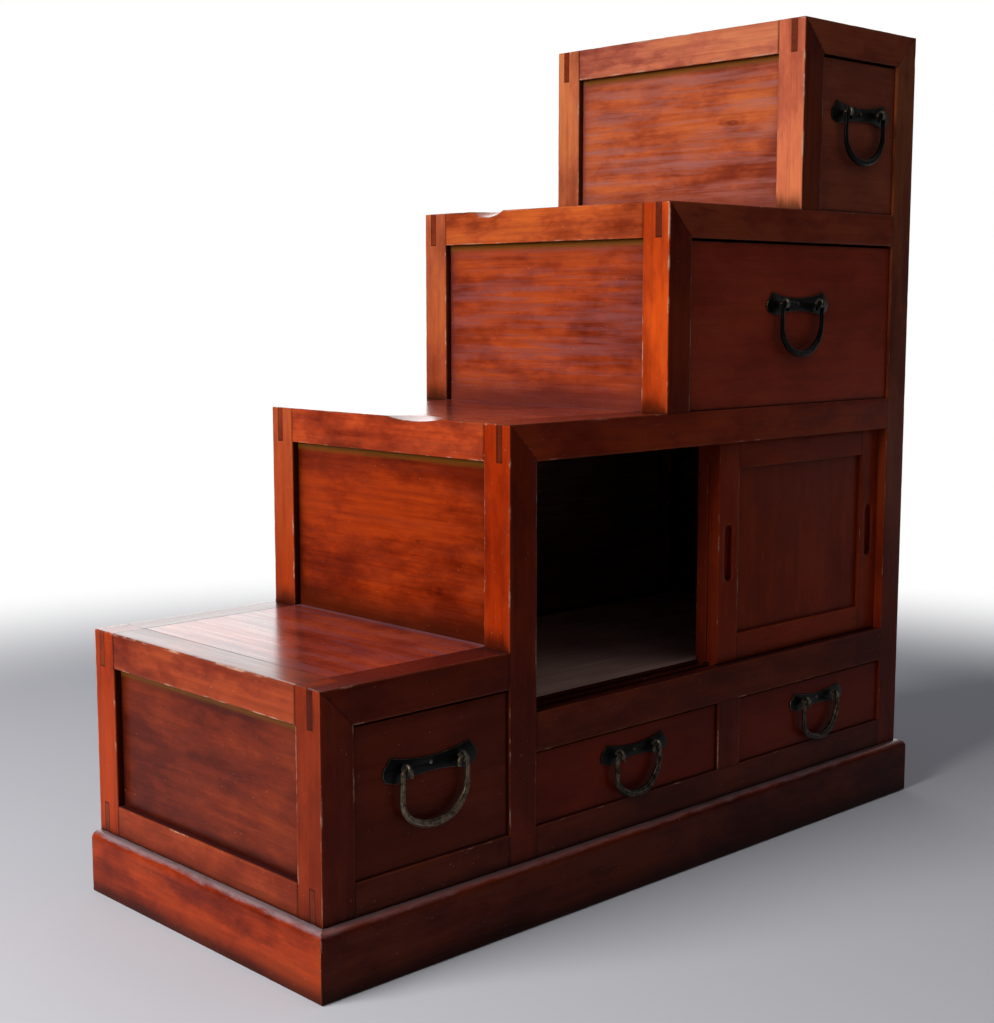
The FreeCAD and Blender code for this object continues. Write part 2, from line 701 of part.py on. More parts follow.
front_span = ("front_y", "front_inner_y")
back_span = ("back_inner_y", "back_y")
front_post_1 = post("front_post_1", "left_x", front_span, ("plinth_height", "step_1_z"))
front_post_2 = post("front_post_2", "step_2_x", front_span, ("plinth_height", "step_2_z"))
front_post_3 = post("front_post_3", "step_3_x", front_span, ("step_2_z", "step_3_z"), foot=True)
front_post_4 = post("front_post_4", "step_4_x", front_span, ("step_3_z", "top_z"), foot=True)
front_post_5 = post("front_post_right", "right_post_x", front_span, ("plinth_height", "top_z"))
back_post_1 = post("back_post_1", "left_x", back_span, ("plinth_height", "step_1_z"))
back_post_2 = post("back_post_2", "step_2_x", back_span, ("plinth_height", "step_2_z"))
back_post_3 = post("back_post_3", "step_3_x", back_span, ("step_2_z", "step_3_z"), foot=True)
back_post_4 = post("back_post_4", "step_4_x", back_span, ("step_3_z", "top_z"), foot=True)
back_post_5 = post("back_post_right", "right_post_x", back_span, ("plinth_height", "top_z"))
divider = joined(
    "drawer_divider_post",
    board(
        "divider_blank",
        ("divider_x", "divider_x + divider_width"),
        front_span,
        ("lower_rail_z", "sill_low_z"),
    ),
    board(
        "divider_tenon",
        ("divider_x + side_tenon_shoulder", "divider_x + divider_width - side_tenon_shoulder"),
        ("front_y + side_tenon_shoulder", "front_inner_y - side_tenon_shoulder"),
        ("lower_rail_z - foot_tenon", "sill_low_z + foot_tenon"),
    ),
)
keep(divider, "drawer_divider_post")

keep(
    housed("front_post_1", front_post_1, rail_1, foot_left, riser_1, riser_rail_1, riser_foot, tread_1),
    "front_post_1",
)
keep(
    housed(
        "front_post_2", front_post_2, rail_1, foot_left, foot_right, sill, head, riser_2, riser_rail_2,
        tread_1,
    ),
    "front_post_2",
)
keep(housed("front_post_3", front_post_3, rail_3, riser_3, riser_rail_3, tread_3), "front_post_3")
keep(housed("front_post_4", front_post_4, rail_top, riser_4, riser_rail_4, top_board), "front_post_4")
keep(
    housed(
        "front_post_right", front_post_5, foot_right, sill, head, rail_3, rail_top,
        right_lower, right_upper, right_foot, right_middle, right_top, top_board,
    ),
    "front_post_right",
)
group(
    "back_posts",
    housed(
        "back_post_1", back_post_1, back_rails["back_rail_1"], back_rails["back_foot_left"],
        riser_1, riser_rail_1, riser_foot, tread_1, back_1,
    ),
    housed(
        "back_post_2", back_post_2, back_rails["back_rail_1"], back_rails["back_foot_left"],
        back_rails["back_foot_right"], back_rails["back_sill"], back_rails["back_head"],
        riser_2, riser_rail_2, tread_1, tread_2, back_1, back_2, back_3,
    ),
    housed("back_post_3", back_post_3, back_rails["back_rail_3"], riser_3, riser_rail_3, tread_3, back_4),
    housed("back_post_4", back_post_4, back_rails["back_rail_top"], riser_4, riser_rail_4, top_board, back_5),
    housed(
        "back_post_right", back_post_5, back_rails["back_foot_right"], back_rails["back_sill"],
        back_rails["back_head"], back_rails["back_rail_3"], back_rails["back_rail_top"],
        right_lower, right_upper, right_foot, right_middle, right_top, top_board,
        back_2, back_3, back_4, back_5,
    ),
)


# Tracks that the door tongues run in, one pair in the sill and one in the head rail.
def track(name, face_y, z_span):
    low = f"{face_y} + door_tongue_inset - track_side_gap"
    high = f"{face_y} + door_tongue_inset + door_tongue_thickness + track_side_gap"
    return board(name, (step_2_inner, "right_post_x"), (low, high), z_span)


front_door_y = "front_y + door_setback"
rear_door_y = "front_y + door_setback + door_thickness + door_spacing"
sill_track = ("sill_z - sill_track_depth", "sill_z + overrun")
head_track = ("head_low_z - overrun", "head_low_z + head_track_depth")
keep(housed("front_rail_step_1", rail_1, tread_1), "front_rail_step_1")
group(
    "bottom_rails",
    foot_left,
    housed("foot_rail_right", foot_right, divider),
    housed("riser_rail_bottom", riser_foot, riser_1, board_1),
)
keep(
    housed(
        "cabinet_sill", sill, divider,
        track("sill_track_front", front_door_y, sill_track), track("sill_track_rear", rear_door_y, sill_track),
    ),
    "cabinet_sill",
)
keep(
    housed(
        "cabinet_head_rail", head, front_post_3, riser_3, tread_2,
        track("head_track_front", front_door_y, head_track), track("head_track_rear", rear_door_y, head_track),
    ),
    "cabinet_head_rail",
)
keep(housed("front_rail_step_3", rail_3, front_post_4, riser_4, tread_3), "front_rail_step_3")
keep(housed("front_rail_top", rail_top, top_board), "front_rail_top")
group(
    "back_rails",
    housed("back_rail_1", back_rails["back_rail_1"], tread_1, back_1),
    housed("back_foot_left", back_rails["back_foot_left"], back_1),
    housed("back_foot_right", back_rails["back_foot_right"], back_2),
    housed("back_sill", back_rails["back_sill"], back_2, back_3),
    housed("back_head", back_rails["back_head"], tread_2, back_post_3, riser_3, back_3, back_4),
    housed("back_rail_3", back_rails["back_rail_3"], tread_3, back_post_4, riser_4, back_4, back_5),
    housed("back_rail_top", back_rails["back_rail_top"], top_board, back_5),
)


# Sliding doors: two stiles, two rails and a panel of two boards, with a finger slot in each stile.
def finger_slot(name, middle_x, face_y):
    """A slot with round ends, sunk into the front of a stile."""
    radius = "pull_width / 2"
    middle_z = "(door_low_z + door_high_z) / 2"
    reach = "(pull_height - pull_width) / 2"
    y_span = (f"{face_y} - overrun", f"{face_y} + pull_depth")
    return joined(
        name,
        board(f"{name}_middle", (f"{middle_x} - {radius}", f"{middle_x} + {radius}"), y_span,
              (f"{middle_z} - {reach}", f"{middle_z} + {reach}")),
        rod(f"{name}_lower_end", radius, middle_x, y_span, f"{middle_z} - {reach}"),
        rod(f"{name}_upper_end", radius, middle_x, y_span, f"{middle_z} + {reach}"),
    )


def sliding_door(name, face_y):
    """One door of the pair, at its face's place along Y."""
    thickness = (face_y, f"{face_y} + door_thickness")
    tongue = (f"{face_y} + door_tongue_inset", f"{face_y} + door_tongue_inset + door_tongue_thickness")
    foot = "sill_z - sill_track_depth + running_gap"
    crown = "head_low_z + head_tongue"
    inner_low = "door_x + door_stile"
    inner_high = "door_x + door_width - door_stile"
    lower_rail_top = "door_low_z + door_rail"
    upper_rail_low = "door_high_z - door_rail"
    middle_x = "door_x + door_width / 2"
    panel_y = (f"{face_y} + door_panel_recess", f"{face_y} + door_panel_recess + door_panel_thickness")
    panel_z = (f"{lower_rail_top} - door_groove", f"{upper_rail_low} + door_groove")
    left_board = board(f"{name}_board_left", (f"{inner_low} - door_groove", middle_x), panel_y, panel_z)
    right_board = board(f"{name}_board_right", (middle_x, f"{inner_high} + door_groove"), panel_y, panel_z)
    rails = []
    for place, body_z, tongue_z in (
        ("lower", ("door_low_z", lower_rail_top), (foot, lower_rail_top)),
        ("upper", (upper_rail_low, "door_high_z"), (upper_rail_low, crown)),
    ):
        rails.append(joined(
            f"{name}_{place}_rail_blank",
            board(f"{name}_{place}_rail_body", (inner_low, inner_high), thickness, body_z),
            board(f"{name}_{place}_rail_tongue", (inner_low, inner_high), tongue, tongue_z),
            board(
                f"{name}_{place}_rail_tenon",
                (f"{inner_low} - door_tenon", f"{inner_high} + door_tenon"),
                tongue,
                (f"{body_z[0]} + door_groove", f"{body_z[1]} - door_groove"),
            ),
        ))
    stiles = []
    for place, low in (("left", "door_x"), ("right", inner_high)):
        high = f"{low} + door_stile"
        blank = joined(
            f"{name}_{place}_stile_blank",
            board(f"{name}_{place}_stile_body", (low, high), thickness, ("door_low_z", "door_high_z")),
            board(f"{name}_{place}_stile_tongue", (low, high), tongue, (foot, crown)),
        )
        slot = finger_slot(f"{name}_{place}_slot", f"{low} + door_stile / 2", face_y)
        stiles.append(housed(f"{name}_{place}_stile", blank, slot, rails[0], rails[1], left_board, right_board))
    cut_rails = [
        housed(f"{name}_lower_rail", rails[0], left_board, right_board),
        housed(f"{name}_upper_rail", rails[1], left_board, right_board),
    ]
    group(f"{name}_frame", *stiles, *cut_rails)
    group(f"{name}_panel", left_board, right_board)


sliding_door("front_door", front_door_y)
sliding_door("rear_door", rear_door_y)


# Handles: a cut back plate, two eyes driven through the drawer front and bent over inside, one nail.
def share_point(shares, half_width, half_height, side=1):
    """A point of the plate's outline from its shares."""
    return FreeCAD.Vector(side * shares[0] * half_width, 0, shares[1] * half_height)


def plate_outline(kind):
    """The plate's closed outline in its own middle, as a wire in the XZ plane."""
    half_width = size(f"{kind}_plate_width") / 2
    half_height = size(f"{kind}_plate_height") / 2
    edges = []
    for side in (1, -1):
        corner, waist, tip, lobe, heel = (
            share_point(shares, half_width, half_height, side)
            for shares in (
                PLATE_TOP_CORNER_SHARES, PLATE_WAIST_SHARES, PLATE_TIP_SHARES,
                PLATE_LOBE_SHARES, PLATE_HEEL_SHARES,
            )
        )
        edges.append(Part.LineSegment(corner, waist).toShape())
        edges.append(Part.Arc(waist, tip, lobe).toShape())
        edges.append(Part.LineSegment(lobe, heel).toShape())
    for middle_shares, end_shares in (
        (PLATE_TOP_MIDDLE_SHARES, PLATE_TOP_CORNER_SHARES),
        (PLATE_ARCH_SHARES, PLATE_HEEL_SHARES),
    ):
        ends = [share_point(end_shares, half_width, half_height, side) for side in (-1, 1)]
        middle = share_point(middle_shares, half_width, half_height)
        edges.append(Part.Arc(ends[0], middle, ends[1]).toShape())
    return Part.Wire(Part.__sortEdges__(edges))


def bail_shape(kind):
    """A U-shaped bar hung from the hinge line, thick below, its ends curled in through the eyes."""
    half_eye = size(f"{kind}_eye_spacing") / 2
    half_width = size(f"{kind}_bail_width") / 2
    drop = size(f"{kind}_bail_drop")
    curl = half_width - half_eye
    thin = size("curl_bar_radius")
    middle = size("leg_bar_radius")
    thick = size("bottom_bar_radius")
    halves = []
    for side in ("right", "left"):
        bow = size(f"{kind}_{side}_bow")
        half = [((half_eye - curl, -curl - size("curl_tip_length")), (0, 1), thin)]
        for turn in CURL_TURNS:
            along, up = math.cos(math.radians(turn)), math.sin(math.radians(turn))
            radius = thin + (middle - thin) * max(0, along)
            half.append(((half_eye + curl * along, curl * (up - 1)), (up, -along), radius))
        for turn in BOW_TURNS:
            along, down = math.cos(math.radians(turn)), math.sin(math.radians(turn))
            radius = middle + (thick - middle) * down
            run = (-half_width * down, -bow * along)
            half.append(((half_width * along, bow - drop - bow * down), run, radius))
        halves.append(half)
    stations = halves[0]
    stations += [((-x, z), (run_x, -run_z), radius) for (x, z), (run_x, run_z), radius in halves[1][-2::-1]]
    rings = []
    for (x, z), (run_x, run_z), radius in stations:
        middle_point = FreeCAD.Vector(x, 0, z)
        outwards = FreeCAD.Vector(0, radius, 0)
        sideways = FreeCAD.Vector(-run_z, 0, run_x).normalize() * radius
        ring = Part.Circle(middle_point + outwards, middle_point + sideways, middle_point - outwards)
        rings.append(Part.Wire(ring.toShape()))
    return Part.makeLoft(rings, True, False)


def handle(name, kind, middle_x, middle_z):
    """Plate, eyes and nail as one fitting, and the bail as a moving piece."""
    hinge_z = f"{middle_z} + {name}_handle_rise"
    back = "drawer_face_y + drawer_front_thickness"
    plate_y = "drawer_face_y - plate_thickness"
    place = [float(sheet.evalExpression(bound(rule))) for rule in (middle_x, "drawer_face_y", hinge_z)]
    blank = doc.addObject("Part::Feature", f"{name}_plate_blank")
    blank.Shape = Part.Face(plate_outline(kind)).extrude(FreeCAD.Vector(0, -size("plate_thickness"), 0))
    blank.Placement = FreeCAD.Placement(FreeCAD.Vector(*place), FreeCAD.Rotation())
    eyes = []
    for label, sign in (("left", "-"), ("right", "+")):
        eye_x = f"{middle_x} {sign} {kind}_eye_spacing / 2"
        ring = doc.addObject("Part::Torus", f"{name}_{label}_ring")
        ring.Placement = FreeCAD.Placement(FreeCAD.Vector(), FreeCAD.Rotation(FreeCAD.Vector(0, 1, 0), 90))
        ring.setExpression("Radius1", bound("eye_ring_radius"))
        ring.setExpression("Radius2", bound("eye_wire_radius"))
        for axis, rule in (("x", eye_x), ("y", "hinge_y"), ("z", hinge_z)):
            ring.setExpression(f"Placement.Base.{axis}", bound(rule))
        neck_y = ("hinge_y + eye_ring_radius", "drawer_face_y")
        neck = rod(f"{name}_{label}_neck", "eye_neck_radius", eye_x, neck_y, hinge_z)
        shank = rod(f"{name}_{label}_shank", "eye_shank_radius", eye_x, ("drawer_face_y", back), hinge_z)
        tails = board(
            f"{name}_{label}_tails",
            (f"{eye_x} - eye_tail_length", f"{eye_x} + eye_tail_length"),
            (back, f"{back} + eye_tail_thickness"),
            (f"{hinge_z} - eye_tail_width / 2", f"{hinge_z} + eye_tail_width / 2"),
        )
        eyes.append(joined(f"{name}_{label}_eye", ring, neck, shank, tails))
    head = doc.addObject("Part::Sphere", f"{name}_nail_dome")
    dome_squares = "nail_head_radius * nail_head_radius + nail_head_height * nail_head_height"
    dome_radius = f"({dome_squares}) / (2 * nail_head_height)"
    head.setExpression("Radius", bound(dome_radius))
    dome_y = f"{plate_y} - nail_head_height + {dome_radius}"
    for axis, rule in (("x", middle_x), ("y", dome_y), ("z", hinge_z)):
        head.setExpression(f"Placement.Base.{axis}", bound(rule))
    cap_box = board(
        f"{name}_nail_cap_box",
        (f"{middle_x} - nail_head_radius", f"{middle_x} + nail_head_radius"),
        (f"{plate_y} - nail_head_height", plate_y),
        (f"{hinge_z} - nail_head_radius", f"{hinge_z} + nail_head_radius"),
    )
    cap = doc.addObject("Part::Common", f"{name}_nail_cap")
    cap.Base = head
    cap.Tool = cap_box
    shank_y = (plate_y, f"{plate_y} + nail_length")
    nail_shank = rod(f"{name}_nail_shank", "nail_shank_radius", middle_x, shank_y, hinge_z)
    nail = joined(f"{name}_nail", cap, nail_shank)
    plate = housed(f"{name}_plate", blank, eyes[0], eyes[1], nail)
    group(f"{name}_handle_plate", plate, eyes[0], eyes[1], nail)
    bail = doc.addObject("Part::Feature", f"{name}_bail")
    bail.Shape = bail_shape(kind)
    hinge_place = FreeCAD.Vector(place[0], size("hinge_y"), place[2])
    bail.Placement = FreeCAD.Placement(hinge_place, FreeCAD.Rotation())
    keep(bail, f"{name}_bail")
    return eyes + [nail]


def drawer(name, kind, x_span, z_span):
    """Front, sides, back and bottom in an opening of the frame, with its handle."""
    left = f"{x_span[0]} + drawer_side_gap"
    right = f"{x_span[1]} - drawer_side_gap"
    low = f"{z_span[0]} + running_gap"
    high = f"{z_span[1]} - drawer_top_gap"
    front_back = "drawer_face_y + drawer_front_thickness"
    end = "back_inner_y - drawer_back_gap"
    side_top = f"{high} - drawer_side_drop"
    bottom_low = f"{low} + drawer_bottom_rise"
    bottom_high = f"{bottom_low} + drawer_bottom_thickness"
    inner_left = f"{left} + drawer_wall"
    inner_right = f"{right} - drawer_wall"
    handle_x = f"(({x_span[0]}) + ({x_span[1]})) / 2 + {name}_handle_shift"
    fittings = handle(name, kind, handle_x, f"(({low}) + ({high})) / 2")
    side_y = (f"{front_back} - drawer_side_tongue", end)
    left_blank = board(f"{name}_left_blank", (left, inner_left), side_y, (low, side_top))
    right_blank = board(f"{name}_right_blank", (inner_right, right), side_y, (low, side_top))
    housed_x = (f"{inner_left} - drawer_housing", f"{inner_right} + drawer_housing")
    bottom_y = (f"{front_back} - drawer_housing", f"{end} - drawer_housing")
    bottom = board(f"{name}_bottom", housed_x, bottom_y, (bottom_low, bottom_high))
    back_blank = board(f"{name}_back_blank", housed_x, (f"{end} - drawer_wall", end), (low, side_top))
    back = housed(f"{name}_back", back_blank, bottom)
    front_blank = board(f"{name}_front_blank", (left, right), ("drawer_face_y", front_back), (low, high))
    cut_front = housed(f"{name}_front", front_blank, left_blank, right_blank, bottom, *fittings)
    keep(cut_front, f"{name}_front")
    group(
        f"{name}_box",
        housed(f"{name}_left_side", left_blank, bottom, back_blank),
        housed(f"{name}_right_side", right_blank, bottom, back_blank),
        back,
        bottom,
    )


drawer("drawer_1", "large", (step_1_inner, "step_2_x"), ("lower_rail_z", "step_1_z - rail_height"))
drawer("drawer_2", "small", (step_2_inner, "divider_x"), ("lower_rail_z", "sill_low_z"))
drawer("drawer_3", "small", ("divider_x + divider_width", "right_post_x"), ("lower_rail_z", "sill_low_z"))
drawer("drawer_4", "middle", (step_3_inner, "right_post_x"), ("step_2_z", "step_3_z - rail_height"))
drawer("drawer_5", "middle", (step_4_inner, "right_post_x"), ("step_3_z", "top_z - rail_height"))

doc.recompute()
for item in doc.Objects:
    if {"Invalid", "Error"} & set(item.State):
        raise RuntimeError(f"{item.Label} did not build: {item.State}")
for node in nodes:
    if node.Shape.isNull() or not node.Shape.isValid() or not node.Shape.Solids:
        raise RuntimeError(f"{node.Label} has no valid shape")
os.makedirs("parts", exist_ok=True)
for node in nodes:
    node.Shape.exportStep(f"parts/{node.Label}.step")
print(len(nodes), "nodes,", sum(len(node.Shape.Solids) for node in nodes), "solids")
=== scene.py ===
import json
import math
import random

import bmesh
import bpy
from mathutils import Matrix, Vector, noise
from mathutils.bvhtree import BVHTree

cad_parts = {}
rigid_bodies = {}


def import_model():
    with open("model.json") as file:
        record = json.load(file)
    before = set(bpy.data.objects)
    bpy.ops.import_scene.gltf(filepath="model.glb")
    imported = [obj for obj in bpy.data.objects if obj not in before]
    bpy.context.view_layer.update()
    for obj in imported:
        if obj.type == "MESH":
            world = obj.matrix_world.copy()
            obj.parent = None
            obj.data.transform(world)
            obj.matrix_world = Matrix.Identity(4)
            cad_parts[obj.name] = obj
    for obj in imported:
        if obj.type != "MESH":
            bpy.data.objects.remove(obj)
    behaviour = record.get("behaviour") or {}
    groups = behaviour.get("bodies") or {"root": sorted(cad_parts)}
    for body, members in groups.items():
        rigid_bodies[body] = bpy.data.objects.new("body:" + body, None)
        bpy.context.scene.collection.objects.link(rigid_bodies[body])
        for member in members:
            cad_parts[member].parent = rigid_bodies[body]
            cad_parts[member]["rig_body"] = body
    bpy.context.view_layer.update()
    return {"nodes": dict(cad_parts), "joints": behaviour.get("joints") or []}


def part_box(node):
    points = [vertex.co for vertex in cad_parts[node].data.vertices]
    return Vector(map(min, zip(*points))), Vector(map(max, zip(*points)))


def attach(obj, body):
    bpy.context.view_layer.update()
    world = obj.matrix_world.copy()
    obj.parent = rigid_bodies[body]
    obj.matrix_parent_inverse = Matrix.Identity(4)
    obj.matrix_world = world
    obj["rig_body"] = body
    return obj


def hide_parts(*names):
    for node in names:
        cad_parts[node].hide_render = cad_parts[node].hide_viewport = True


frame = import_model()


# The setting: a pale plain floor that fades into white, seen from the left of the chest's front, a
# little above its second step. Daylight comes in softly from the left and behind, and the drawer
# fronts get only a faint light from the room.
def from_hex(code):
    """A colour written in sRGB hex, as the linear values that shaders take."""
    shares = [int(code[place:place + 2], 16) / 255 for place in (1, 3, 5)]
    linear = [share / 12.92 if share <= 0.04045 else ((share + 0.055) / 1.055) ** 2.4 for share in shares]
    return linear + [1.0]


def add(material, kind, inputs=None, **settings):
    """Adds a shader node with its settings; an input is a value, an output, or a node to link from."""
    node = material.node_tree.nodes.new(kind)
    for name, value in settings.items():
        setattr(node, name, value)
    for key, value in (inputs or {}).items():
        if isinstance(value, bpy.types.Node):
            value = next(output for output in value.outputs if output.enabled)
        if isinstance(value, bpy.types.NodeSocket):
            material.node_tree.links.new(value, node.inputs[key])
        else:
            node.inputs[key].default_value = value
    return node


# Lens, place and turn were fitted to the chest's edges in the photograph.
focal_length, picture_height = 1616.6, 1023
film_height = 36
camera_data = bpy.data.cameras.new("camera")
camera_data.sensor_width = film_height
camera_data.lens = focal_length / picture_height * film_height
camera_data.clip_start = 0.05
camera_data.clip_end = 60
camera = bpy.data.objects.new("camera", camera_data)
bpy.context.scene.collection.objects.link(camera)
camera.location = (-1.4188, -1.4124, 0.6771)
camera_yaw = math.radians(43.66)
camera_pitch = math.radians(-7.36)
looking = Vector((
    math.sin(camera_yaw) * math.cos(camera_pitch),
    math.cos(camera_yaw) * math.cos(camera_pitch),
    math.sin(camera_pitch),
))
camera.rotation_mode = "QUATERNION"
camera.rotation_quaternion = looking.to_track_quat("-Z", "Y")
bpy.context.scene.camera = camera
bpy.context.scene.view_settings.view_transform = "Standard"

behind_chest = (0.69, 0.72, 0)
fade_start, fade_end = 1.15, 2.1
floor_material = bpy.data.materials.new("pale_floor")
floor_material.use_nodes = True
floor_material.node_tree.nodes.clear()
floor_place = add(floor_material, "ShaderNodeTexCoord")
floor_reach = add(
    floor_material, "ShaderNodeVectorMath", {0: floor_place.outputs["Object"]}, operation="LENGTH",
)
floor_fade = add(
    floor_material, "ShaderNodeMapRange",
    {"Value": floor_reach.outputs["Value"], "From Min": fade_start, "From Max": fade_end},
    interpolation_type="SMOOTHSTEP",
)
floor_light = add(floor_material, "ShaderNodeLightPath")
floor_behind = add(
    floor_material, "ShaderNodeVectorMath", {0: floor_place.outputs["Object"], 1: behind_chest},
    operation="DOT_PRODUCT",
)
floor_mirrored = add(
    floor_material, "ShaderNodeMapRange",
    {"Value": floor_behind.outputs["Value"], "From Min": 0.2, "From Max": 1.6},
)
floor_glossy = add(
    floor_material, "ShaderNodeMath", {0: floor_light.outputs["Is Glossy Ray"], 1: floor_mirrored},
    operation="MULTIPLY",
)
floor_seen = add(
    floor_material, "ShaderNodeMath", {0: floor_light.outputs["Is Camera Ray"], 1: floor_glossy},
    operation="MAXIMUM",
)
floor_glow = add(floor_material, "ShaderNodeEmission", {"Strength": floor_seen})
floor_body = add(floor_material, "ShaderNodeBsdfDiffuse", {"Color": from_hex("#cbd0dc")})
floor_mix = add(
    floor_material, "ShaderNodeMixShader",
    {0: floor_fade, 1: floor_body, 2: floor_glow},
)
add(floor_material, "ShaderNodeOutputMaterial", {"Surface": floor_mix})

floor_mesh = bpy.data.meshes.new("floor")
shape = bmesh.new()
bmesh.ops.create_circle(shape, cap_ends=True, segments=96, radius=9)
shape.to_mesh(floor_mesh)
shape.free()
floor_mesh.materials.append(floor_material)
floor = bpy.data.objects.new("floor", floor_mesh)
bpy.context.scene.collection.objects.link(floor)

world = bpy.data.worlds.new("room")
bpy.context.scene.world = world
world.use_nodes = True
world.node_tree.nodes.clear()
world_place = add(world, "ShaderNodeTexCoord")
world_side = add(
    world, "ShaderNodeVectorMath", {0: world_place.outputs["Generated"], 1: behind_chest},
    operation="DOT_PRODUCT",
)
world_behind = add(
    world, "ShaderNodeMapRange",
    {"Value": world_side.outputs["Value"], "From Min": 0.3, "From Max": 0.9, "To Min": 0.03, "To Max": 1.2},
    interpolation_type="SMOOTHSTEP",
)
world_light = add(world, "ShaderNodeLightPath")
world_white = add(world, "ShaderNodeBackground", {"Color": from_hex("#ffffff"), "Strength": 1.0})
world_mirrored = add(
    world, "ShaderNodeBackground", {"Color": from_hex("#ffffff"), "Strength": world_behind.outputs["Result"]},
)
world_soft = add(world, "ShaderNodeBackground", {"Color": from_hex("#f2f4ff"), "Strength": 0.085})
world_inner = add(
    world, "ShaderNodeMixShader",
    {0: world_light.outputs["Is Glossy Ray"], 1: world_soft, 2: world_mirrored},
)
world_outer = add(
    world, "ShaderNodeMixShader",
    {0: world_light.outputs["Is Camera Ray"], 1: world_inner, 2: world_white},
)
add(world, "ShaderNodeOutputWorld", {"Surface": world_outer})


def soft_lamp(name, place, target, width, power, colour):
    """A square soft box aimed at a point."""
    lamp = bpy.data.lights.new(name, "AREA")
    lamp.size = width
    lamp.energy = power
    lamp.color = from_hex(colour)[:3]
    holder = bpy.data.objects.new(name, lamp)
    bpy.context.scene.collection.objects.link(holder)
    holder.location = place
    holder.rotation_mode = "QUATERNION"
    holder.rotation_quaternion = (Vector(target) - Vector(place)).to_track_quat("-Z", "Y")
    holder.visible_camera = False


soft_lamp("window", (-2.95, 0.2, 1.75), (0.0, 0.0, 0.5), 1.9, 138, "#fff8f0")
soft_lamp("room_light", (2.2, -3.2, 2.6), (0.1, -0.2, 0.45), 2.6, 4.5, "#fff1e4")
soft_lamp("ceiling", (0.9, -0.9, 3.2), (0.5, -0.6, 0.0), 2.4, 8, "#fff6ee")
soft_lamp("wall_glow", (1.9, 3.2, 1.3), (0.1, 0.1, 0.4), 2.8, 18, "#ffffff")


# Plinth: thick boards of red-brown lacquered softwood, mitred at the front corners, moulded
# along the top edge and kicked and scraped along the foot.
millimetre = 0.001
along_x, along_y, upright = 0, 1, 2


def solids_of(node):
    """The closed solids of a node, each as a list of triangles of corner places."""
    mesh = frame["nodes"][node].data
    solids, current, open_edges = [], [], set()
    for face in mesh.polygons:
        corners = [tuple(round(value, 6) for value in mesh.vertices[index].co) for index in face.vertices]
        current.append(corners)
        for start, end in zip(corners, corners[1:] + corners[:1]):
            if start == end:
                continue
            if (end, start) in open_edges:
                open_edges.remove((end, start))
            else:
                open_edges.add((start, end))
        if not open_edges:
            solids.append(current)
            current = []
    if current:
        solids.append(current)
    return solids


weld = 0.02 * millimetre
flat_within = math.radians(0.5)


def merged(triangles):
    """A solid's triangles as one clean shape with flat faces kept whole."""
    shape = bmesh.new()
    for corners in triangles:
        shape.faces.new([shape.verts.new(corner) for corner in corners])
    bmesh.ops.remove_doubles(shape, verts=shape.verts[:], dist=weld)
    bmesh.ops.dissolve_limit(shape, angle_limit=flat_within, verts=shape.verts[:], edges=shape.edges[:])
    return shape


every_solid = []
for node_name in sorted(frame["nodes"]):
    for number, triangles in enumerate(solids_of(node_name)):
        corners = [Vector(corner) for face in triangles for corner in face]
        low = Vector([min(corner[axis] for corner in corners) for axis in range(3)])
        high = Vector([max(corner[axis] for corner in corners) for axis in range(3)])
        faces = [tuple(range(start, start + 3)) for start in range(0, len(corners), 3)]
        every_solid.append(((node_name, number), low, high, BVHTree.FromPolygons(corners, faces)))


def laid_in(whole, shape):
    """Adds a finished solid to the mesh of its node, and lets the solid go."""
    part = bpy.data.meshes.new("part")
    shape.to_mesh(part)
    shape.free()
    whole.from_mesh(part)
    bpy.data.meshes.remove(part)


def set_in_place(whole, name, node, body, sharp_from=None):
    """The finished mesh as a piece that rides on its body and stands for its node."""
    mesh = bpy.data.meshes.new(name)
    whole.to_mesh(mesh)
    whole.free()
    if sharp_from is not None:
        for face in mesh.polygons:
            face.use_smooth = True
        mesh.set_sharp_from_angle(angle=math.radians(sharp_from))
    piece = bpy.data.objects.new(name, mesh)
    bpy.context.scene.collection.objects.link(piece)
    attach(piece, body)
    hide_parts(node)
    return piece


# A row of faces this close to each edge keeps its rounding off the board's flat faces. The ray that
# tells inside from outside is oblique, so that it runs along no board.
edge_row, thick_board = 3.4 * millimetre, 12 * millimetre
probe = 0.4 * millimetre
ray = Vector((0.31, 0.22, 0.925)).normalized()
nick_places = Vector((3.1, 7.7, 1.9))


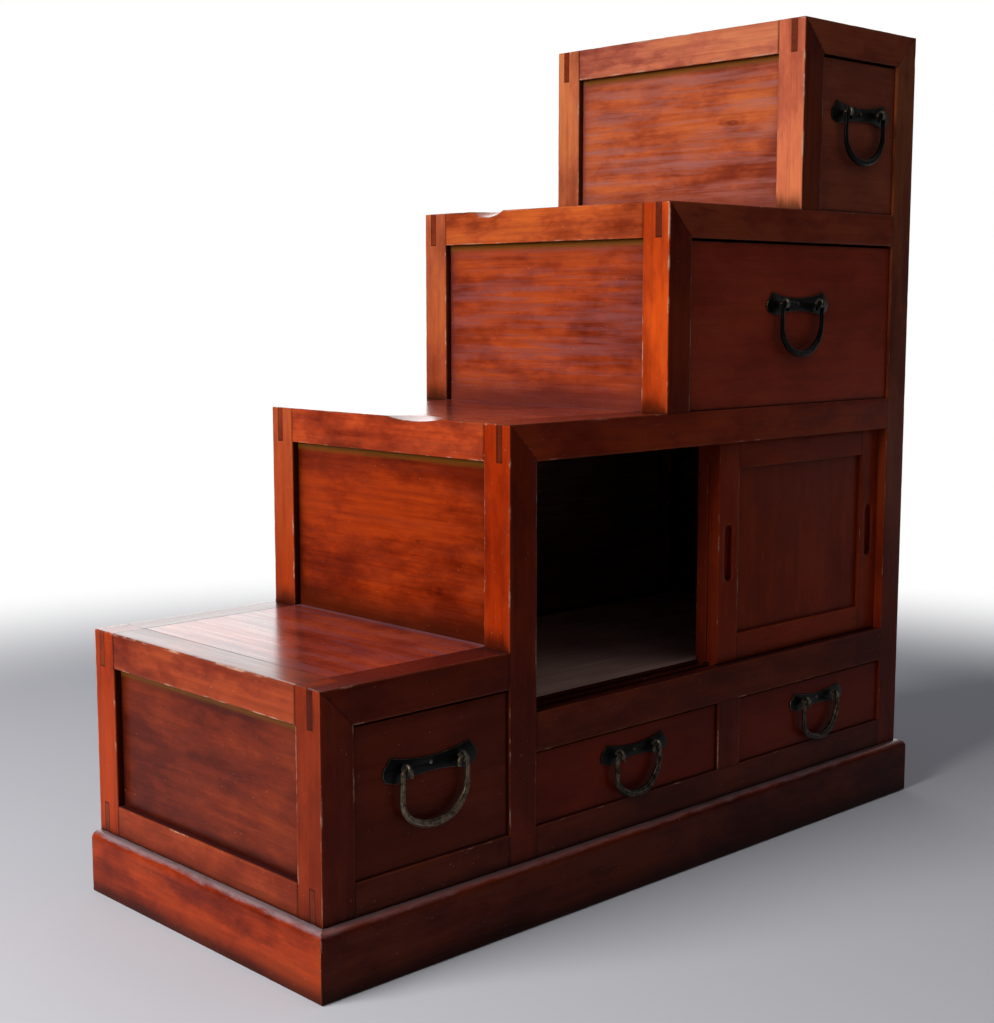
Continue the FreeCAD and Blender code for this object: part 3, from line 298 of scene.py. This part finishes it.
def planed(node, step=7, arris=1.3, wear=0.3, joint=0.3, grain=None):
    """A copy of a node's boards with rounded free edges, worn by handling, and hairline joints."""
    slack = Vector((1, 1, 1)) * millimetre
    whole = bmesh.new()
    for number, triangles in enumerate(solids_of(node)):
        shape = merged(triangles)
        places = [vert.co for vert in shape.verts]
        low = Vector([min(place[axis] for place in places) for axis in range(3)])
        high = Vector([max(place[axis] for place in places) for axis in range(3)])
        neighbours = [
            (least - slack, most + slack, tree) for owner, least, most, tree in every_solid
            if owner != (node, number) and all(
                least[axis] - millimetre < high[axis] and most[axis] + millimetre > low[axis]
                for axis in range(3)
            )
        ]

        def covered(point):
            """Whether the point lies inside a neighbouring board."""
            for least, most, tree in neighbours:
                if all(least[axis] <= point[axis] <= most[axis] for axis in range(3)):
                    hit, normal, face, distance = tree.ray_cast(point, ray)
                    if hit is not None and normal.dot(ray) > 0:
                        return True
            return False

        for axis in range(3):
            normal = Vector([float(axis == other) for other in range(3)])
            count = max(1, round((high[axis] - low[axis]) / (step * millimetre)))
            cuts = {low[axis] + (high[axis] - low[axis]) * index / count for index in range(1, count)}
            if high[axis] - low[axis] > thick_board:
                cuts |= {low[axis] + edge_row, high[axis] - edge_row}
            for cut in sorted(cuts):
                bmesh.ops.bisect_plane(
                    shape, geom=shape.verts[:] + shape.edges[:] + shape.faces[:], dist=0.005 * millimetre,
                    plane_co=normal * cut, plane_no=normal,
                )
        free = []
        for edge in shape.edges:
            if len(edge.link_faces) != 2 or edge.calc_face_angle_signed() < math.radians(20):
                continue
            middle = (edge.verts[0].co + edge.verts[1].co) / 2
            one, other = (face.normal for face in edge.link_faces)
            hidden = [
                covered(middle + (there - here) * probe) for here, there in ((one, other), (other, one))
            ]
            if not any(hidden):
                free.append(edge)
            elif not all(hidden):
                edge.seam = True
        rubbed = shape.verts.layers.float.new("wear")
        seam = shape.verts.layers.float.new("seam")
        fibre = shape.verts.layers.float_vector.new("grain")
        cut_end = shape.faces.layers.float.new("cut_end")
        if free:
            bevelled = bmesh.ops.bevel(
                shape, geom=free, offset=arris * millimetre, offset_type="OFFSET", segments=3, profile=0.5,
                affect="EDGES", material=-1, clamp_overlap=True,
            )
            shape.normal_update()
            # Long dents of 33 mm with short ones of 8 mm in them, and here and there a deep nick.
            for vert in bevelled["verts"]:
                vert[rubbed] = 1.0
                dent = noise.noise(vert.co * 30) * 0.6 + noise.noise(vert.co * 120) * 0.4
                nick = max(0.0, noise.noise(vert.co * 70 + nick_places) - 0.38) * 5
                vert.co -= vert.normal * wear * millimetre * (max(0.0, 0.35 + dent) + nick)
        hairlines = [edge for edge in shape.edges if edge.seam and edge.is_manifold]
        if hairlines and joint:
            chamfered = bmesh.ops.bevel(
                shape, geom=hairlines, offset=joint * millimetre, offset_type="OFFSET", segments=1,
                profile=0.5, affect="EDGES", material=-1, clamp_overlap=True,
            )
            for vert in chamfered["verts"]:
                vert[seam] = 1.0
        chance = random.Random(f"{node}{number}")
        shift = Vector([chance.uniform(-9, 9) for axis in range(3)])
        extent = high - low
        along = max(range(3), key=lambda axis: extent[axis]) if grain is None else grain
        for vert in shape.verts:
            vert[fibre] = Vector([vert.co[(along + turn) % 3] for turn in range(3)]) + shift
        shape.normal_update()
        for face in shape.faces:
            face[cut_end] = float(abs(face.normal[along]) > 0.9 and face.normal.z < 0.5)
        laid_in(whole, shape)
    return set_in_place(whole, f"{node}_worn", node, frame["nodes"][node]["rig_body"], sharp_from=32)


def lacquer(
    name, body, streaky=0.5, cloudy=0.6, film_and_sheen="#6e3428", haze_and_sheen=0.25, rim=0.028, shade_and_grime=0.85, shade_and_dirt="#1e0905",
    shaded=0.0, front="#5e1d0e", painted_top_light=0.0, dusty=0.0, dust="#8e8082", rub=0.16, ends=0.6,
    gloss=0.34, polish=0.14, relief=0.16, bare_from=None, knots=(),
):
    """Red-brown see-through lacquer over softwood: streaks and stains show, with painted shade and soiling in
    corners.
    """
    # Body is the lacquer's own tone. The veil on it is partly haze and partly a painted sheen, the corner
    # tone is painted shade with soiling within the rim of a corner, front is a darker tone painted as shade
    # on the faces towards -Y, and dust lies on level faces.
    material = bpy.data.materials.new(name)
    material.use_nodes = True
    material.node_tree.nodes.clear()
    place = add(material, "ShaderNodeTexCoord").outputs["Object"]
    grain = add(material, "ShaderNodeAttribute", attribute_name="grain").outputs["Vector"]
    wear = add(material, "ShaderNodeAttribute", attribute_name="wear").outputs["Fac"]
    seam = add(material, "ShaderNodeAttribute", attribute_name="seam").outputs["Fac"]
    cut_end = add(material, "ShaderNodeAttribute", attribute_name="cut_end").outputs["Fac"]
    # Millimetres along the grain and across it. Pores and dust are drawn coarser than they are, so
    # that they show.
    patterns = {}
    for title, length, width, detail, rough in (
        ("streaks", 170, 9, 4, 0.66), ("brushing", 420, 3.5, 2, 0.5), ("clouds", 170, 75, 5, 0.66),
        ("pores", 45, 1.6, 2, 0.5), ("haze", 190, 12, 5, 0.7), ("dust", 4, 3, 1, 0.5),
        ("rubs", 36, 10, 4, 0.7),
    ):
        scale = [1 / (size * millimetre) for size in (length, width, width)]
        drawn = add(material, "ShaderNodeVectorMath", {0: grain, 1: scale}, operation="MULTIPLY")
        patterns[title] = add(material, "ShaderNodeTexNoise", {
            "Vector": drawn, "Scale": 1.0, "Detail": detail, "Roughness": rough,
        }).outputs["Fac"]
    normal = add(material, "ShaderNodeNewGeometry").outputs["True Normal"]
    facing = add(material, "ShaderNodeSeparateXYZ", {"Vector": normal})
    height = add(material, "ShaderNodeSeparateXYZ", {"Vector": place}).outputs["Z"]
    # Ambient occlusion: shade painted into corners, mottled by the haze noise as soiling would be.
    corner = add(material, "ShaderNodeAmbientOcclusion", {"Distance": rim}, samples=8).outputs["AO"]
    shade_and_soiling = add(
        material, "ShaderNodeMath", {0: patterns["haze"], 1: 0.4, 2: corner}, operation="MULTIPLY_ADD",
    )
    settled = add(
        material, "ShaderNodeMath", {0: patterns["rubs"], 1: 1.2, 2: facing.outputs["Z"]},
        operation="MULTIPLY_ADD",
    )
    handled = add(material, "ShaderNodeMapRange", {"Value": wear, "From Min": 0.4, "From Max": 1.0})
    rubbed = add(material, "ShaderNodeMapRange", {
        "Value": patterns["rubs"], "From Min": 0.66 - rub * 0.4, "From Max": 0.76 - rub * 0.4,
    })
    outermost = add(material, "ShaderNodeMapRange", {"Value": corner, "From Min": 0.84, "From Max": 0.97})
    for mask in (outermost, handled):
        rubbed = add(material, "ShaderNodeMath", {0: mask, 1: rubbed}, operation="MULTIPLY")
    # Stains and streaks darken or lighten what is under them, the other layers cover it.
    deep, glowing = (0.42, 0.3, 0.36, 1.0), (1.45, 1.8, 1.3, 1.0)
    colour = from_hex(body)
    for mask, least, most, amount, kind, tint in (
        # Painted shade: faces towards -Y take the darker front tone, as the fronts stand out of the light.
        (facing.outputs["Y"], -0.5, -0.9, shaded, "MIX", from_hex(front)),
        # Painted light: lighter towards the top, as lit from above.
        (height, 0.35, 1.0, painted_top_light, "MIX", from_hex("#d08058")),
        (patterns["clouds"], 0.53, 0.38, cloudy, "MULTIPLY", deep),
        (patterns["clouds"], 0.5, 0.62, cloudy * 0.6, "MULTIPLY", glowing),
        (patterns["streaks"], 0.52, 0.36, streaky, "MULTIPLY", deep),
        (patterns["streaks"], 0.5, 0.66, streaky * 0.7, "MULTIPLY", glowing),
        (patterns["brushing"], 0.5, 0.34, streaky * 0.5, "MULTIPLY", deep),
        (patterns["pores"], 0.56, 0.76, 0.3, "MULTIPLY", deep),
        # Partly a haze in the lacquer, partly a painted sheen.
        (patterns["haze"], 0.47, 0.66, haze_and_sheen, "MIX", from_hex(film_and_sheen)),
        # Painted shade with soiling in the corners.
        (shade_and_soiling, 1.16, 0.88, shade_and_grime, "MIX", from_hex(shade_and_dirt)),
        (settled, 1.15, 1.6, dusty, "MIX", from_hex(dust)),
        (cut_end, 0.0, 1.0, ends, "MIX", from_hex("#240b06")),
        (seam, 0.4, 1.0, 0.6, "MIX", from_hex("#1e0905")),
        (patterns["dust"], 0.75, 0.8, 0.2, "MIX", from_hex("#c4a089")),
        (handled, 0.0, 1.0, 0.2, "MIX", from_hex("#8a4528")),
        (rubbed, 0.0, 1.0, 0.7, "MIX", from_hex("#c29c86")),
    ):
        strength = add(material, "ShaderNodeMapRange", {
            "Value": mask, "From Min": least, "From Max": most, "To Max": amount,
        })
        colour = add(
            material, "ShaderNodeMix", {"Factor": strength, "A": colour, "B": tint},
            data_type="RGBA", blend_type=kind,
        )
    for knot, radius in knots:
        towards = add(material, "ShaderNodeVectorMath", {0: place, 1: knot}, operation="SUBTRACT")
        squeezed = add(
            material, "ShaderNodeVectorMath", {0: towards, 1: (1.0, 0.62, 1.0)}, operation="MULTIPLY",
        )
        away = add(material, "ShaderNodeVectorMath", {0: squeezed}, operation="LENGTH").outputs["Value"]
        wavy = add(
            material, "ShaderNodeMath", {0: patterns["haze"], 1: radius * 2.2, 2: away},
            operation="MULTIPLY_ADD",
        )
        turns = add(material, "ShaderNodeMath", {0: wavy, 1: 7 / radius}, operation="MULTIPLY")
        rings = add(material, "ShaderNodeMath", {0: turns}, operation="SINE")
        fade = add(material, "ShaderNodeMapRange", {
            "Value": wavy, "From Min": radius * 2.3, "From Max": radius * 1.3, "To Max": 0.75,
        })
        darker = add(material, "ShaderNodeMapRange", {"Value": rings, "From Min": -1.0, "To Min": 0.35})
        swirl = add(material, "ShaderNodeMath", {0: fade, 1: darker}, operation="MULTIPLY")
        colour = add(
            material, "ShaderNodeMix", {"Factor": swirl, "A": colour, "B": deep}, data_type="RGBA",
            blend_type="MULTIPLY",
        )
    if bare_from is not None:
        level = add(
            material, "ShaderNodeMath", {0: patterns["haze"], 1: 0.008, 2: height}, operation="MULTIPLY_ADD",
        )
        strip = add(material, "ShaderNodeMapRange", {
            "Value": level, "From Min": bare_from + 0.003, "From Max": bare_from + 0.009, "To Max": 0.85,
        })
        colour = add(
            material, "ShaderNodeMix", {"Factor": strip, "A": colour, "B": from_hex("#6b4313")},
            data_type="RGBA",
        )
    dull = add(material, "ShaderNodeMapRange", {
        "Value": patterns["haze"], "From Min": 0.42, "From Max": 0.7, "To Min": gloss, "To Max": gloss + 0.22,
    })
    grooves = add(
        material, "ShaderNodeMath", {0: patterns["pores"], 1: 0.35, 2: patterns["streaks"]},
        operation="MULTIPLY_ADD",
    )
    bump = add(material, "ShaderNodeBump", {"Height": grooves, "Strength": relief, "Distance": 0.0006})
    # Level faces are polished by hands and feet, whatever the rest of the board is like.
    coat = add(material, "ShaderNodeMapRange", {
        "Value": facing.outputs["Z"], "From Min": 0.6, "From Max": 0.95, "To Min": polish, "To Max": 1.0,
    })
    shader = add(material, "ShaderNodeBsdfPrincipled", {
        "Base Color": colour, "Roughness": dull, "Normal": bump, "IOR": 1.2, "Specular IOR Level": 0.3,
        "Specular Tint": from_hex("#d89a78"),
        "Coat Weight": coat, "Coat Roughness": 0.2, "Coat IOR": 1.28, "Coat Normal": bump,
    })
    add(material, "ShaderNodeOutputMaterial", {"Surface": shader})
    return material


plinth_knots = [((-0.512, -0.077, 0.0465), 0.014)]
for node, dusty in (("plinth_front", 0.3), ("plinth_ends", 0.65), ("plinth_back", 0.3)):
    piece = planed(node, step=8, arris=1.2)
    # The plinth's front faces take painted shade.
    piece.data.materials.append(lacquer(
        f"{node}_lacquer", "#872d12", streaky=0.25, cloudy=0.9, film_and_sheen="#4e2420", haze_and_sheen=0.4, shaded=0.95,
        front="#4a170b", dusty=dusty, dust="#96878f", rub=0.3, knots=plinth_knots,
    ))


# Posts: squared lengths of the same softwood with upright grain, polished brighter than the
# panels by hands and sleeves, their corners rubbed through to the pale wood.
for node, body in (
    ("front_post_1", "#72240b"), ("front_post_2", "#892506"), ("front_post_3", "#ba4414"),
    ("front_post_4", "#c0664a"), ("front_post_right", "#8c2c10"), ("drawer_divider_post", "#5f1709"),
    ("back_posts", "#8e2e0d"),
):
    piece = planed(node, step=6, joint=0.5)
    # Painted shade with soiling in the corners, faint on the right post.
    shade_and_soiling = 0.25 if node == "front_post_right" else 0.85
    # The back posts and the right post are painted lighter towards the top, as lit from above.
    painted_top_light = {"back_posts": 0.55, "front_post_right": 0.3}.get(node, 0.0)
    # The posts' front faces take painted shade.
    finish = lacquer(
        f"{node}_lacquer", body, streaky=0.22, cloudy=0.6, haze_and_sheen=0.12, shade_and_grime=shade_and_soiling, shaded=0.92, painted_top_light=painted_top_light,
        rub=0.34,
    )
    piece.data.materials.append(finish)


# Rails across the front and back: the grain runs along the chest, the through tenons show as
# dark end grain on the posts' left faces, and the step corners are mitred.
for node, body in (
    ("front_rail_step_1", "#5a1a0b"), ("cabinet_sill", "#5c1e0b"), ("cabinet_head_rail", "#802b15"),
    ("front_rail_step_3", "#8b3923"), ("front_rail_top", "#90412a"), ("bottom_rails", "#86341b"),
    ("back_rails", "#83341e"),
):
    piece = planed(node, step=7, joint=0.5)
    worn_in = 0.35 if node == "back_rails" else 0.6
    # The bottom rails' front faces take painted shade.
    shaded = 0.8 if node == "bottom_rails" else 0.0
    finish = lacquer(
        f"{node}_lacquer", body, streaky=0.18, cloudy=0.7, haze_and_sheen=0.12, rub=0.16, ends=worn_in, shaded=shaded,
        front="#40130a", dusty=0.6, dust="#38161e",
    )
    piece.data.materials.append(finish)


# Rails along the sides of the steps: trodden and knocked, so the second is worn hollow, the third
# has lost a chip, and their edges are the palest of the chest.
for node, body in (
    ("riser_rail_1", "#86351f"), ("riser_rail_2", "#9c3a1c"), ("riser_rail_3", "#a84a24"),
    ("riser_rail_4", "#b0604c"), ("right_side_rails", "#8c3a22"),
):
    piece = planed(node, step=5, arris=1.5, wear=0.45, joint=0.5)
    finish = lacquer(f"{node}_lacquer", body, streaky=0.3, cloudy=0.95, haze_and_sheen=0.3, rub=0.36)
    piece.data.materials.append(finish)


# Riser panels: thin boards with level grain, brushed with lacquer in long streaks and darkened near
# the frame by painted shade with soiling, with a bare yellowish strip under the rail where the board
# has shrunk down. The paler veil on the upper panels is partly a painted sheen.
knots_2 = (((-0.238, -0.046, 0.4094), 0.009), ((-0.238, -0.0829, 0.3593), 0.012))
knots_3 = (((0.0135, -0.067, 0.648), 0.02),)
knots_4 = (((0.2635, -0.0878, 0.9056), 0.012),)
for node, body, film_and_sheen, haze_and_sheen, shade_and_dirt, knots in (
    ("riser_panel_1", "#6c240d", "#4a1f1a", 0.45, "#2a0c08", ()),
    ("riser_panel_2", "#862909", "#6a2a1c", 0.25, "#2c0c04", knots_2),
    ("riser_panel_3", "#963a1c", "#7a484a", 0.65, "#552420", knots_3),
    ("riser_panel_4", "#aa5030", "#98625e", 0.75, "#6a352e", knots_4),
):
    piece = planed(node, step=9, arris=0.8, grain=along_y)
    under_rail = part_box(node)[1].z - 6 * millimetre
    finish = lacquer(
        f"{node}_lacquer", body, streaky=0.36, cloudy=0.85, film_and_sheen=film_and_sheen, haze_and_sheen=haze_and_sheen, shade_and_dirt=shade_and_dirt, rim=0.045,
        polish=0.3, bare_from=under_rail - 9 * millimetre, knots=knots,
    )
    piece.data.materials.append(finish)


# Panels of the right side: the same boards, brushed with lacquer in coarser streaks because this
# side stands against a wall.
piece = planed("right_side_panels", step=12, arris=0.8, grain=along_y)
piece.data.materials.append(lacquer(
    "side_panel_lacquer", "#7c2f1a", streaky=0.6, haze_and_sheen=0.4, gloss=0.4, polish=0.4, rim=0.035,
))


# Treads and top board: wide boards flush in their frames, polished by feet to a wet shine that
# mirrors the wall, with scuffs along the grain.
# Their greyish-purple veil is partly a painted sheen, and the pale tone in their corners is dust with a
# painted glint.
tread_lacquer = lacquer(
    "tread_lacquer", "#a0402c", streaky=0.16, cloudy=0.9, film_and_sheen="#785060", haze_and_sheen=0.6, rim=0.014, shade_and_grime=0.55,
    shade_and_dirt="#7c7086", gloss=0.26, relief=0.015,
)
for node in ("tread_1", "tread_2", "tread_3", "top_board"):
    piece = planed(node, step=10, arris=0.8, joint=0.7)
    piece.data.materials.append(tread_lacquer)


# Boards that never see daylight: shelves, cabinet floor, bearers, guides, back panels and the
# drawers' sides and bottoms, sawn and planed softwood left without lacquer and browned by age.
def bare_wood(name, dark, light):
    """Aged softwood without finish: matt, with straight grain and darker late wood lines."""
    material = bpy.data.materials.new(name)
    material.use_nodes = True
    material.node_tree.nodes.clear()
    grain = add(material, "ShaderNodeAttribute", attribute_name="grain").outputs["Vector"]
    # Late wood lines stand about 5 mm apart and run 150 mm before they wander.
    scale = [1 / (size * millimetre) for size in (150, 5, 5)]
    drawn = add(material, "ShaderNodeVectorMath", {0: grain, 1: scale}, operation="MULTIPLY")
    lines = add(material, "ShaderNodeTexNoise", {
        "Vector": drawn, "Scale": 1.0, "Detail": 4.0, "Roughness": 0.6,
    })
    clouds = add(material, "ShaderNodeTexNoise", {"Vector": grain, "Scale": 7.0, "Detail": 3.0})
    tone = add(material, "ShaderNodeMath", {0: lines, 1: clouds}, operation="MULTIPLY")
    ramp = add(material, "ShaderNodeValToRGB", {"Fac": tone})
    ramp.color_ramp.elements[0].position = 0.14
    ramp.color_ramp.elements[0].color = from_hex(dark)
    ramp.color_ramp.elements[1].position = 0.38
    ramp.color_ramp.elements[1].color = from_hex(light)
    bump = add(material, "ShaderNodeBump", {"Height": lines, "Strength": 0.35, "Distance": 0.0008})
    shader = add(material, "ShaderNodeBsdfPrincipled", {
        "Base Color": ramp, "Roughness": 0.72, "Normal": bump, "IOR": 1.45,
    })
    add(material, "ShaderNodeOutputMaterial", {"Surface": shader})
    return material


inner_wood = bare_wood("aged_softwood", "#4e2f1c", "#8e5f3c")
# The cabinet floor is written very pale: painted light falling in through the opening, over dusty wood.
painted_light_wood = bare_wood("cabinet_softwood_painted_light", "#b48e84", "#e0c0b4")
for node in ("drawer_shelves", "cabinet_floor", "drawer_guides", "cross_bearers", "back_panels"):
    piece = planed(node, step=14, arris=0.6)
    piece.data.materials.append(painted_light_wood if node == "cabinet_floor" else inner_wood)


# Drawers: a lacquered front with level grain over a plain box of softwood boards.
# The two upper fronts are written lighter than the three below: painted light, as more light falls on them
# from above.
for number, body, haze_and_sheen in (
    (1, "#5a1c0c", 0.12), (2, "#661907", 0.1), (3, "#671a0a", 0.1), (4, "#963622", 0.3), (5, "#984c36", 0.3),
):
    piece = planed(f"drawer_{number}_front", step=8, arris=1.1, grain=along_x)
    finish = lacquer(
        f"drawer_{number}_front_lacquer", body, streaky=0.14, cloudy=0.4, haze_and_sheen=haze_and_sheen, rim=0.02, shade_and_grime=0.4,
        rub=0.15,
    )
    piece.data.materials.append(finish)
    piece = planed(f"drawer_{number}_box", step=14, arris=0.6)
    piece.data.materials.append(inner_wood)


# Sliding doors: a frame of stiles and rails round a panel of two upright boards, with a finger
# slot sunk in each stile. The front door hides the rear one, which shows only by its edge.
door_lacquer = lacquer(
    "door_frame_lacquer", "#802912", streaky=0.12, cloudy=0.4, haze_and_sheen=0.08, shade_and_grime=0.15, rub=0.15,
)
door_panel_lacquer = lacquer(
    "door_panel_lacquer", "#7b2813", streaky=0.12, cloudy=0.4, haze_and_sheen=0.08, rim=0.02, shade_and_grime=0.4,
)
for door in ("front_door", "rear_door"):
    piece = planed(f"{door}_frame", step=7, arris=0.9)
    piece.data.materials.append(door_lacquer)
    piece = planed(f"{door}_panel", step=12, arris=0.6, joint=0, grain=upright)
    piece.data.materials.append(door_panel_lacquer)


# Handles: black wrought iron. A back plate cut from sheet, two eyes driven through the drawer
# front and bent over inside, a nail, and a forged bail with hammered facets, thick in the bow.
def wrought_iron(name, dark, light, relief):
    """Hammered iron: black scale in the hollows, brown-grey metal where it is handled, with painted
    highlights.
    """
    material = bpy.data.materials.new(name)
    material.use_nodes = True
    material.node_tree.nodes.clear()
    place = add(material, "ShaderNodeTexCoord").outputs["Object"]
    # Hammer marks are 3 mm wide, rubbed and highlit places 7 mm, and the scale's grit is drawn at 0.8 mm.
    marks, grit, rubs = (
        add(material, "ShaderNodeTexNoise", {
            "Vector": place, "Scale": scale, "Detail": detail, "Roughness": rough,
        })
        for scale, detail, rough in ((330, 2, 0.5), (1250, 2, 0.6), (150, 4, 0.7))
    )
    wear = add(material, "ShaderNodeAttribute", attribute_name="wear").outputs["Fac"]
    mask = add(material, "ShaderNodeMath", {0: wear, 1: rubs}, operation="MULTIPLY")
    bare_and_highlight = add(material, "ShaderNodeMapRange", {"Value": mask, "From Min": 0.3, "From Max": 0.62})
    colour = add(
        material, "ShaderNodeMix", {"Factor": bare_and_highlight, "A": from_hex(dark), "B": from_hex(light)},
        data_type="RGBA",
    )
    rough = add(material, "ShaderNodeMapRange", {
        "Value": grit, "From Min": 0.3, "From Max": 0.7, "To Min": 0.3, "To Max": 0.5,
    })
    both = add(material, "ShaderNodeMath", {0: marks, 1: grit}, operation="ADD")
    bump = add(material, "ShaderNodeBump", {"Height": both, "Strength": relief, "Distance": 0.0003})
    shader = add(material, "ShaderNodeBsdfPrincipled", {
        "Base Color": colour, "Roughness": rough, "Metallic": 0.75, "Normal": bump,
    })
    add(material, "ShaderNodeOutputMaterial", {"Surface": shader})
    return material


def forged(number):
    """A drawer's back plate with its cut edges dressed, and its two eyes and nail, worn to the metal and lit
    by painted highlights.
    """
    node = f"drawer_{number}_handle_plate"
    whole = bmesh.new()
    for triangles in solids_of(node):
        shape = merged(triangles)
        rubbed = shape.faces.layers.float.new("wear")
        reach = max(vert.co.x for vert in shape.verts) - min(vert.co.x for vert in shape.verts)
        is_plate = reach > 60 * millimetre
        # Eyes and nail are painted light: worn metal and a painted highlight.
        for face in shape.faces:
            face[rubbed] = 0.0 if is_plate else 0.85
        cut_edges = [
            edge for edge in shape.edges
            if edge.is_manifold and edge.calc_face_angle_signed() > math.radians(40)
        ]
        dressed = bmesh.ops.bevel(
            shape, geom=cut_edges, offset=0.45 * millimetre, offset_type="OFFSET", segments=2, profile=0.5,
            affect="EDGES", material=-1, clamp_overlap=True,
        )
        # The dressed rims are painted lightest: worn metal and a painted highlight along the edge.
        for face in dressed["faces"]:
            face[rubbed] = 1.0
        laid_in(whole, shape)
    return set_in_place(whole, f"{node}_dressed", node, f"drawer_{number}", sharp_from=35)


def hammered_bail(number, bareness_and_highlight, eye_gap, width, drop, left_bow, right_bow):
    """A drawer's bail: a bar with eight flats, curled into the eyes, thick in the bow, worn and given a
    painted highlight along its ridges.
    """
    swing = next(joint for joint in frame["joints"] if joint["name"] == f"drawer_{number}_bail_swing")
    hinge = Vector(swing["pos_m"])
    curl = (width - eye_gap) / 2
    # The bar's radius at its tip, in the eye, down the stem and in the bow, and the tip's length.
    tip, neck, stem, thick, tail = 2.2, 2.3, 2.8, 4.5, 4
    halves = []
    for bow in (left_bow, right_bow):
        half = [(eye_gap / 2 - curl, -curl - tail, tip)]
        for turn in range(180, -1, -15):
            cosine, sine = math.cos(math.radians(turn)), math.sin(math.radians(turn))
            radius = neck + (stem - neck) * max(0, cosine)
            half.append((eye_gap / 2 + curl * cosine, curl * (sine - 1), radius))
        straight = drop - bow - curl
        for share in (0.33, 0.67):
            half.append((width / 2, -curl - straight * share, stem))
        for turn in range(0, 91, 6):
            cosine, sine = math.cos(math.radians(turn)), math.sin(math.radians(turn))
            half.append((width / 2 * cosine, bow - drop - bow * sine, stem + (thick - stem) * sine))
        halves.append(half)
    path = [(-across, up, radius) for across, up, radius in halves[0]] + halves[1][-2::-1]
    shape = bmesh.new()
    rings = []
    for index, (across, up, radius) in enumerate(path):
        before, after = path[max(0, index - 1)], path[min(len(path) - 1, index + 1)]
        along = Vector((after[0] - before[0], 0, after[1] - before[1])).normalized()
        outwards = along.cross(Vector((0, 1, 0)))
        centre = hinge + Vector((across, 0, up)) * millimetre
        turned = Matrix((outwards, (0, 1, 0), along)).transposed().to_4x4()
        seat = Matrix.Translation(centre) @ turned @ Matrix.Rotation(math.radians(22.5), 4, "Z")
        corner_reach = radius * millimetre * 1.03
        ring = bmesh.ops.create_circle(shape, segments=8, radius=corner_reach, matrix=seat)["verts"]
        for vert in ring:
            dent = noise.noise(vert.co * 160 + Vector((number, 0, 0))) * 0.35
            dent += noise.noise(vert.co * 420) * 0.2
            vert.co += (vert.co - centre).normalized() * dent * millimetre
        rings.append(list(dict.fromkeys(edge for vert in ring for edge in vert.link_edges)))
    for one, other in zip(rings, rings[1:]):
        bmesh.ops.bridge_loops(shape, edges=one + other)
    for end in (rings[0], rings[-1]):
        bmesh.ops.edgeloop_fill(shape, edges=end)
    bmesh.ops.recalc_face_normals(shape, faces=shape.faces[:])
    rubbed = shape.faces.layers.float.new("wear")
    ring_edges = {edge for ring in rings for edge in ring}
    for face in shape.faces:
        face[rubbed] = bareness_and_highlight * 0.85
    ridges = bmesh.ops.bevel(
        shape, geom=[edge for edge in shape.edges if edge not in ring_edges], offset=0.35 * millimetre,
        offset_type="OFFSET", segments=2, profile=0.5, affect="EDGES", material=-1, clamp_overlap=True,
    )
    # Ridges are painted lightest: worn metal and a painted highlight.
    for face in ridges["faces"]:
        face[rubbed] = bareness_and_highlight * 1.15
    node = f"drawer_{number}_bail"
    return set_in_place(shape, f"{node}_hammered", node, node)


plate_iron = wrought_iron("blackened_iron", "#060707", "#847a6c", 0.12)
bail_iron = wrought_iron("handled_iron_with_highlights", "#0a0908", "#8e7c66", 0.25)
# Gap between the eyes, width, drop, and the height of the bow on its left and right, in millimetres.
large, middle, small = (76.5, 88, 62, 28, 38), (72, 82, 62, 32, 38), (63, 73.5, 51, 22, 42)
# The lowest bail is painted lightest and the upper ones darker: wear and a painted highlight.
for number, bareness_and_highlight, kind in (
    (1, 1.0, large), (2, 0.75, small), (3, 0.75, small), (4, 0.5, middle), (5, 0.45, middle),
):
    piece = forged(number)
    piece.data.materials.append(plate_iron)
    piece = hammered_bail(number, bareness_and_highlight, *kind)
    piece.data.materials.append(bail_iron)
